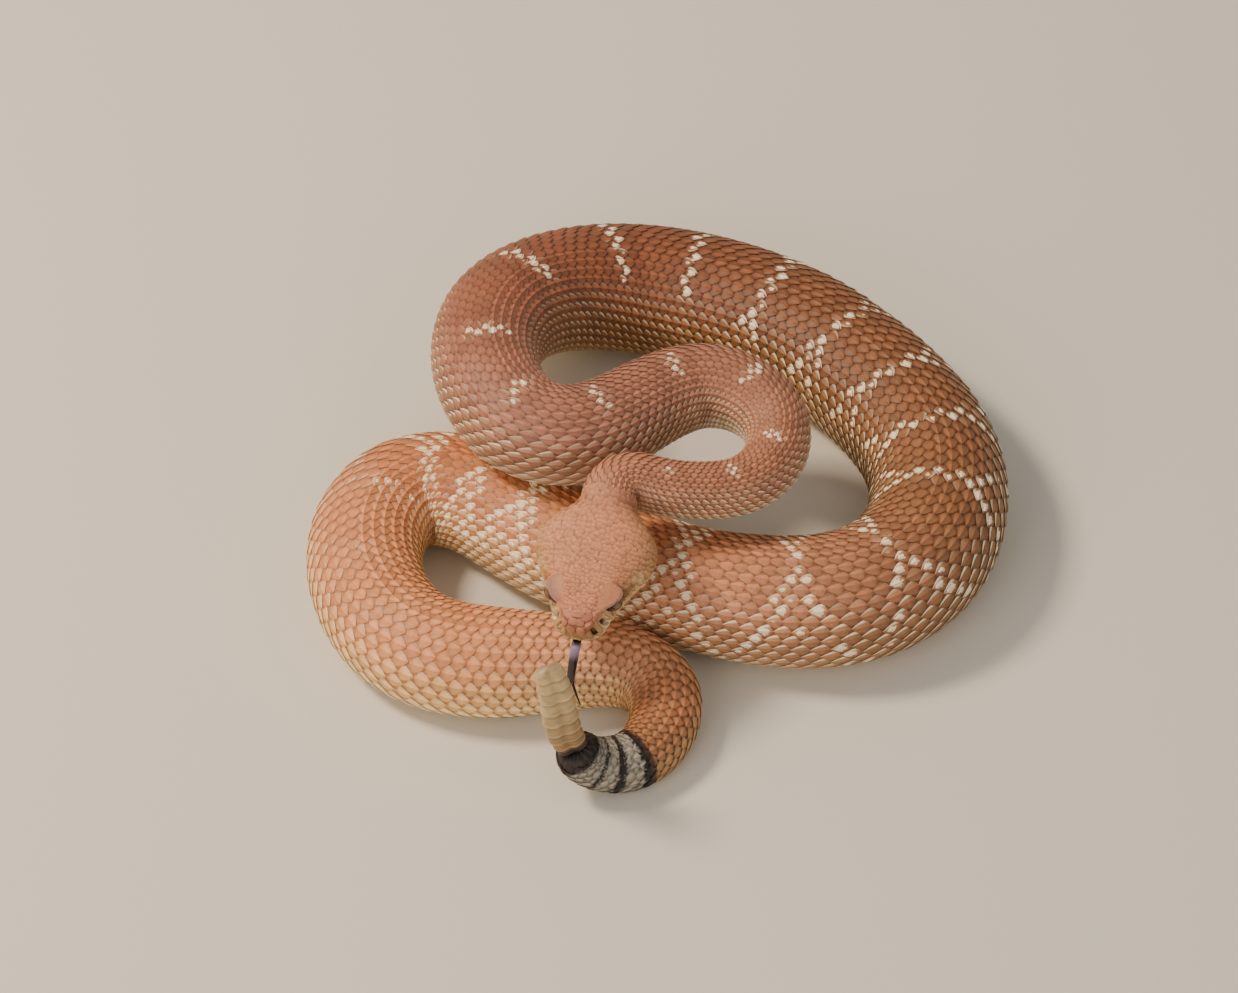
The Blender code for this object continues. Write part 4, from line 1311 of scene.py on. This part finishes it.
def makeLips():
    share = np.linspace(0, 1, lips["perSide"] + 1) ** lips["growth"]
    ends = lips["to"] - (lips["to"] - lips["from"]) * share
    front, rear = ends[:-1], ends[1:]
    middle = (front + rear) / 2
    rows = []
    for side in (-1, 1):
        for way, tall in ((1, lips["upper"]), (-1, lips["lower"])):
            rise = mouthHeight(middle) + way * (lips["fromLine"] + tall / 2)
            u = sideAt(middle, rise, side)
            rows.append(np.column_stack([-front, u, front - rear, np.full(len(front), tall), middle, rise]))
    s, u, length, tall, middle, rise = np.vstack(rows).T
    seeds = rng.random((2, len(s)))
    tone = headTone(middle, np.abs(headLocal(s, u)[1]), rise)
    tone = blend(tone, headColours["cream"], 0.3) * (0.88 + 0.2 * seeds[0])[:, None]
    cells = gridCells(len(s), *lips["mapCells"])
    # Rims darker: painted shade towards the grooves between the plates
    looks = (tone, tone * 0.4, tone * 0.4, 0 * s)
    made = makeScales(
        "lipPlates", headKeratin, s, u, length * lips["lengthShare"], tall * lips["widthShare"], cells,
        looks, lips, outline=squareOutline,
    )
    finishPiece(made)
    print("lipPlates", len(s), "plates")


makeLips()

# Brow plates: a large shield over each eye, flush with the crown, whose thin outer edge juts out over the eye
brow = {
    "place": (37.5, 8.3, 7.5),
    "half": (5.0, 3.4, 0.9),
    "tilt": 12,
    "splay": 26,
    "dip": 4,
    "power": 2.5,
    "segments": 48,
    "rings": 24,
}

# Horn plate of the brow: smooth, low gloss, crown-coloured with a painted grey-violet sheen and a painted
# pale highlight along its outer rim, and grain about 0.8 mm across
browShield = makeGrainedMaterial(
    "browShield", {"Roughness": 0.52, "IOR": 1.5, "Specular IOR Level": 0.45},
    {"Scale": 1200.0, "Detail": 4.0}, (0.86, 1.1), 0.3, 0.0001,
)


def makeBrow(name, side):
    made, points = addSphere(name, brow["segments"], brow["rings"])
    reachOf = np.hypot(points[:, 0], points[:, 1])
    outer = points[:, 1] * side
    # Broad behind and narrower ahead, flat on top, with the outer edge raised a little
    power = brow["power"]
    turned = np.abs(points[:, :2]) / np.maximum(reachOf, 1e-6)[:, None]
    square = np.maximum(turned[:, 0] ** power + turned[:, 1] ** power, 0.5) ** (-1 / power)
    flat = points[:, :2] * square[:, None]
    flat[:, 1] *= 1 - 0.34 * flat[:, 0]
    raised = 0.34 * smoothStep(reachOf, 0.5, 0.85) * smoothStep(outer, 0.0, 0.6) * (1 - reachOf**10)
    face = 0.5 * (1 - reachOf**4) + raised
    height = np.where(points[:, 2] > 0, face, -0.7 * (1 - reachOf**2)) - 0.3 * np.clip(flat[:, 0], 0, 1) ** 2
    local = np.column_stack([flat, height]) * np.array(brow["half"])
    made.data.vertices.foreach_set("co", (local * mm).ravel())
    x, y, z = brow["place"]
    place = Matrix.Translation(Vector((x, side * y, z)) * mm)
    turn = Matrix.Rotation(math.radians(-side * brow["splay"]), 4, "Z")
    turn = turn @ Matrix.Rotation(math.radians(brow["dip"]), 4, "Y")
    turn = turn @ Matrix.Rotation(math.radians(-side * brow["tilt"]), 4, "X")
    made.data.transform(headMatrix() @ place @ turn)
    made.data.shade_smooth()
    made.data.materials.append(browShield)
    # Painted: a highlight on the outer rim, a sheen on the outer half (weaker on the left plate), shade
    # beneath and at the rim
    wearAndHighlight = smoothStep(reachOf, 0.95, 1.0) * smoothStep(outer, 0.0, 0.5)
    tone = headColours["crown"] * 0.86
    tone = blend(tone, headColours["brow"], smoothStep(outer, -0.5, 0.6) * (0.45 if side > 0 else 1.0))
    tone = blend(tone, headColours["hollowShade"], 0.2 * smoothStep(reachOf, 0.9, 1.0) * (outer < 0.2))
    tone = blend(tone, headColours["browRimHighlight"], wearAndHighlight * 0.6)
    tone = blend(tone, headColours["hollowShade"], (points[:, 2] < 0) * smoothStep(reachOf, 1.0, 0.9))
    addColours(made, "tone", tone)
    finishPiece(made)


makeBrow("browLeft", 1)
makeBrow("browRight", -1)

# Eyes: speckled iris, tan darkened with painted shade from the brow, round an upright slit, under a clear
# scale
eyes = {
    "segments": 64,
    "rings": 32,
    "gazeAhead": 18,
    "gazeUp": 4,
    "gap": 0.05,  # the eye is smaller than its node by this
    # Iris colours: its tan darkened with painted shade
    "shadedIris": ("#2C1A10", "#8A6840"),
    "pupil": "#0B0706",
}


# Clear scale over the iris: wet gloss from a coat, with a dark slit and fine radial threads
def makeEyeMaterial():
    gloss = {"Roughness": 0.12, "IOR": 1.38, "Coat Weight": 0.8, "Coat Roughness": 0.03}
    made, tree, shader = startMaterial("speckledEye", gloss)
    face = addNode(tree, "UVMap", {"uv_map": "eyeFace"})
    centred = addNode(tree, "VectorMath", {"operation": "SUBTRACT"}, {0: face, 1: (0.5, 0.5, 0)})
    radius = addNode(tree, "VectorMath", {"operation": "LENGTH"}, {0: centred}).outputs["Value"]
    parts = addNode(tree, "SeparateXYZ", {}, {"Vector": centred})
    slim = addNode(tree, "Math", {"operation": "MULTIPLY"}, {0: parts.outputs["X"], 1: 4.6})
    slit = addNode(tree, "CombineXYZ", {}, {"X": slim, "Y": parts.outputs["Y"]})
    slitRadius = addNode(tree, "VectorMath", {"operation": "LENGTH"}, {0: slit}).outputs["Value"]
    span = {"From Min": 0.29, "From Max": 0.33, **falling}
    pupil = addNode(tree, "MapRange", smooth, {**span, "Value": slitRadius})
    threads = addNode(tree, "TexNoise", {}, {"Scale": 34.0, "Detail": 5.0, "Roughness": 0.7, "Vector": face})
    shadedIris = addNode(tree, "ValToRGB", {}, {"Fac": threads})
    for element, position, colour in zip(shadedIris.color_ramp.elements, (0.32, 0.68), eyes["shadedIris"]):
        element.position = position
        element.color = (*linear(colour), 1)
    rimDark = addNode(tree, "MapRange", smooth, {"From Min": 0.36, "From Max": 0.46, "Value": radius})
    dark = addNode(tree, "Math", {"operation": "MAXIMUM"}, {0: pupil, 1: rimDark})
    final = addNode(tree, "Mix", colourMix, {0: dark, 6: shadedIris, 7: (*linear(eyes["pupil"]), 1)})
    tree.links.new(final.outputs[2], shader.inputs["Base Color"])
    return made


speckledEye = makeEyeMaterial()


def makeEye(name, node, side):
    made, points = addSphere(name, eyes["segments"], eyes["rings"])
    corners = np.zeros(len(made.data.loops), np.int32)
    made.data.loops.foreach_get("vertex_index", corners)
    # The gaze runs along the sphere's own +X; the slit stands along its +Z
    places = points[corners][:, 1:] / 2 + 0.5
    while made.data.uv_layers:
        made.data.uv_layers.remove(made.data.uv_layers[0])
    addUv(made, "eyeFace", places)
    x, y, z = eyePlace
    place = Matrix.Translation(Vector((x, side * y, z)) * mm)
    outward = Matrix.Rotation(math.radians(side * (90 - eyes["gazeAhead"])), 4, "Z")
    gaze = outward @ Matrix.Rotation(math.radians(-eyes["gazeUp"]), 4, "Y")
    size = Matrix.Scale((headShape["eyeRadius"] - eyes["gap"]) * mm, 4)
    made.data.transform(headMatrix() @ place @ gaze @ size)
    made.data.shade_smooth()
    made.data.materials.append(speckledEye)
    finishPiece(made, [node])


makeEye("leftEye", "eye_left", 1)
makeEye("rightEye", "eye_right", -1)
print("brows and eyes made")

# Tongue: a flat wet strip that hangs from the lip notch and forks into two thin tips
tongueShape = {
    "thick": 0.62,
    "widths": ((0, 2.79), (0.5, 3.1), (1, 2.48)),  # share of its length, width
    "stem": (  # forward, to the right, down
        (-1.6, 0, 0), (1.0, 0, 0), (2.7, 0, 1.6), (3.2, 0.4, 5), (3.5, 1, 11), (3.6, 1.6, 17.0),
    ),
    "fork": (  # from the stem's end: forward, to one side, down
        (0, 0.5, -2.5), (0, 0.9, 1), (0.6, 2.2, 5.4), (1.5, 3.8, 9.0),
    ),
    "forkThick": 0.42,
    "forkWidths": ((0, 1.2), (0.5, 0.95), (1, 0.36)),
    "sides": 14,
    "steps": 10,
    "flesh": "#2A1C20",  # at the lips
    "paintedSheen": "#8E7C98",
    "black": "#17121A",
}

# Wet flesh: black, with a painted pale violet sheen close to the lips, and papillae about 0.35 mm apart
wetTongue = makeGrainedMaterial(
    "wetTongue", {"Roughness": 0.28, "IOR": 1.4, "Coat Weight": 0.4, "Coat Roughness": 0.1},
    {"Scale": 2800.0, "Detail": 2.0}, (1.0, 1.0), 0.3, 0.0001,
)


# Rings of points along a line, as a closed mesh
def loftFaces(count, sides, start=0):
    faces = []
    for i in range(count - 1):
        for j in range(sides):
            a, b = start + i * sides + j, start + i * sides + (j + 1) % sides
            faces.append((a, b, b + sides, a + sides))
    faces.append(tuple(start + j for j in range(sides - 1, -1, -1)))
    faces.append(tuple(start + (count - 1) * sides + j for j in range(sides)))
    return faces


def stripRings(points, widths, thick, right, sides, steps):
    path = spline(points, steps)
    tangent = unit(np.gradient(path, axis=0))
    face = unit(np.cross(tangent, right))
    across = unit(np.cross(face, tangent))
    share = np.linspace(0, 1, len(path))
    half = smoothRows(widths, share)[:, 0] / 2
    turn = 2 * math.pi * np.arange(sides) / sides
    wide, high = np.cos(turn), np.sin(turn)
    deep = np.minimum(half, thick)
    # A shallow groove runs down the middle of each face
    high = high * (1 - 0.22 * np.exp(-((wide / 0.3) ** 2)))
    across, face = across[:, None], face[:, None]
    rings = path[:, None] + across * (half[:, None] * wide)[..., None]
    return rings + face * (deep[:, None] * high)[..., None]


def makeTongue():
    share, across, rise = headShape["tongue"]
    start = headPoint(share * headShape["length"], across, rise)
    forward = ahead * np.array([1, 1, 0])
    forward = forward / np.linalg.norm(forward)
    right = np.cross(forward, [0, 0, 1])
    down = np.array([0, 0, -1.0])
    sides, steps = tongueShape["sides"], tongueShape["steps"]
    stem = [start + forward * x + right * y + down * z for x, y, z in tongueShape["stem"]]
    low = stem[-1]
    strips = [stripRings(stem, tongueShape["widths"], tongueShape["thick"], right, sides, steps)]
    for side in (-1, 1):
        fork = [low + forward * x + right * (side * y) + down * z for x, y, z in tongueShape["fork"]]
        thick = tongueShape["forkThick"]
        strips.append(stripRings(fork, tongueShape["forkWidths"], thick, right, sides, steps))
    points, faces = [], []
    for strip in strips:
        faces += loftFaces(len(strip), sides, sum(len(p) for p in points))
        points.append(strip.reshape(-1, 3))
    points = np.vstack(points)
    corners, totals = flatFaces(faces)
    made = meshFrom("forkedTongue", points, corners, totals, wetTongue)
    fallen = (start[2] - points[:, 2]) / (start[2] - low[2])
    flesh, paintedSheen, black = (linear(tongueShape[each]) for each in ("flesh", "paintedSheen", "black"))
    # A painted pale violet sheen near the lips, turning black further down
    tone = blend(paintedSheen, black, smoothStep(fallen, 0.12, 0.42))
    tone = blend(flesh, tone, smoothStep(fallen, -0.02, 0.06))
    addColours(made, "tone", tone)
    turnOutwards(made)
    finishPiece(made, ["tongue"])


makeTongue()

# Rattle: nine hollow horny rings, each gripping the one before it, with a groove down each side
rattleShape = {
    "tip": (-36.5, -113, 62.3),
    "segments": 9,
    "sides": 48,
    "power": 2.2,
    "depth": ((0, 5.4), (0.45, 6.2), (1, 5.0)),
    "thickness": 0.62,  # of its depth
    "sunk": 0.3,
    # share of a segment's length, share of its full section
    "profile": (
        (0.02, 0.74), (-0.02, 0.86), (0.0, 0.95), (0.06, 0.995), (0.16, 1.0), (0.3, 0.975), (0.42, 0.94),
        (0.5, 0.93), (0.58, 0.945), (0.66, 0.94), (0.78, 0.88), (0.9, 0.8), (0.99, 0.73),
    ),
    "button": (0.68, 0.76, 0.83, 0.89, 0.94, 0.97),  # places along the last segment's dome
    "buttonDome": (0.6, 0.94, 0.375),  # where it starts, its size there, and its length
    "colours": {
        "first": "#8E6A3C", "last": "#C4A876", "waistShade": "#8A7350", "wearAndHighlight": "#D9C8A2", "joint": "#33251E",
    },
}


# Dry horn of the rattle: translucent tan, worn paler at the rims, with growth lines round it
def makeHornMaterial():
    values = {"Roughness": 0.42, "IOR": 1.54, "Specular IOR Level": 0.5}
    made, tree, shader = startMaterial("rattleHorn", values)
    tone = addNode(tree, "Attribute", {"attribute_name": "tone"})
    place = addNode(tree, "TexCoord").outputs["Object"]
    # Growth lines 0.5 mm apart, which run round the nearly upright rattle
    squash = addNode(tree, "Mapping", {}, {"Scale": (0.25, 0.25, 2.2), "Vector": place})
    lines = addNode(tree, "TexNoise", {}, {"Scale": 900.0, "Detail": 3.0, "Vector": squash})
    stain = addNode(tree, "TexNoise", {}, {"Scale": 260.0, "Detail": 4.0, "Vector": place})
    lined = addNode(tree, "MapRange", {}, {**noiseSpan, "To Min": 0.84, "To Max": 1.12, "Value": lines})
    stained = addNode(tree, "MapRange", {}, {**noiseSpan, "To Min": 0.8, "To Max": 1.12, "Value": stain})
    shade = addNode(tree, "Math", {"operation": "MULTIPLY"}, {0: lined, 1: stained})
    finishMaterial(tree, shader, tone, shade, lines, 0.35, 0.00015)
    return made


rattleHorn = makeHornMaterial()


# Places along the rattle, in segments, and the share of its full section there
def rattleStops():
    last = rattleShape["segments"] - 1
    start, domeSize, length = rattleShape["buttonDome"]
    stops = [(segment + share, size) for segment in range(last + 1) for share, size in rattleShape["profile"]
             if segment < last or share <= start]
    for share in rattleShape["button"]:
        closing = max(0.03, 1 - ((share - start) / length) ** 2)
        stops.append((last + share, domeSize * math.sqrt(closing)))
    return np.array(stops).T


def makeRattle():
    base = line[-1]
    along = unit(line[-1] - lineAt(bodyLength - 2))
    base = base - along * rattleShape["sunk"]
    tip = np.array(rattleShape["tip"], float)
    length = np.linalg.norm(tip - base)
    path = spline([base, base + along * (length * 0.2), tip - (tip - base) * 0.35, tip], 40)
    sides = rattleShape["sides"]
    stops, sizes = rattleStops()
    share = np.clip(stops / rattleShape["segments"], 0, 1)
    at = share * (len(path) - 1)
    place = np.stack([np.interp(at, np.arange(len(path)), path[:, k]) for k in range(3)], 1)
    tangents = unit(np.gradient(path, axis=0))
    tangent = unit(np.stack([np.interp(at, np.arange(len(path)), tangents[:, k]) for k in range(3)], 1))
    side = unit(np.cross([0, 0, 1], tangent))
    back = np.cross(tangent, side)
    depth = smoothRows(rattleShape["depth"], share)[:, 0] * sizes
    turn = 2 * math.pi * np.arange(sides) / sides
    power = 2 / rattleShape["power"]
    across, rise = (np.sign(v) * np.abs(v) ** power for v in (np.cos(turn), np.sin(turn)))
    groove = 1 - 0.22 * np.exp(-((rise / 0.3) ** 2))
    points = (
        place[:, None]
        + side[:, None] * (depth[:, None] * (across * groove)[None, :] * rattleShape["thickness"])[..., None]
        + back[:, None] * (depth[:, None] * rise[None, :])[..., None]
    )
    faces = loftFaces(len(stops), sides)
    corners, totals = flatFaces(faces)
    made = meshFrom("hornRattle", points.reshape(-1, 3), corners, totals, rattleHorn)
    inSegment = stops % 1
    colours = {key: linear(colour) for key, colour in rattleShape["colours"].items()}
    tone = blend(colours["first"], colours["last"], smoothStep(share, 0.05, 0.8))
    # Painted shade at each segment's waist, where it narrows into the next
    tone = blend(tone, colours["waistShade"], smoothStep(inSegment, 0.66, 0.98) * 0.75)
    tone = blend(tone, colours["wearAndHighlight"], np.exp(-(((inSegment - 0.12) / 0.08) ** 2)) * 0.5)
    tone = blend(colours["joint"], tone, smoothStep(stops, 0.5, 1.1))
    ringed = np.repeat(tone, sides, axis=0)
    # Painted shade in the groove down each side
    grooveShade = np.tile(np.exp(-((rise / 0.22) ** 2)), len(stops)) * 0.35
    addColours(made, "tone", blend(ringed, ringed * 0.5, grooveShade))
    turnOutwards(made)
    made.data.set_sharp_from_angle(angle=math.radians(60))
    finishPiece(made, ["rattle"])


makeRattle()
print("tongue and rattle made")
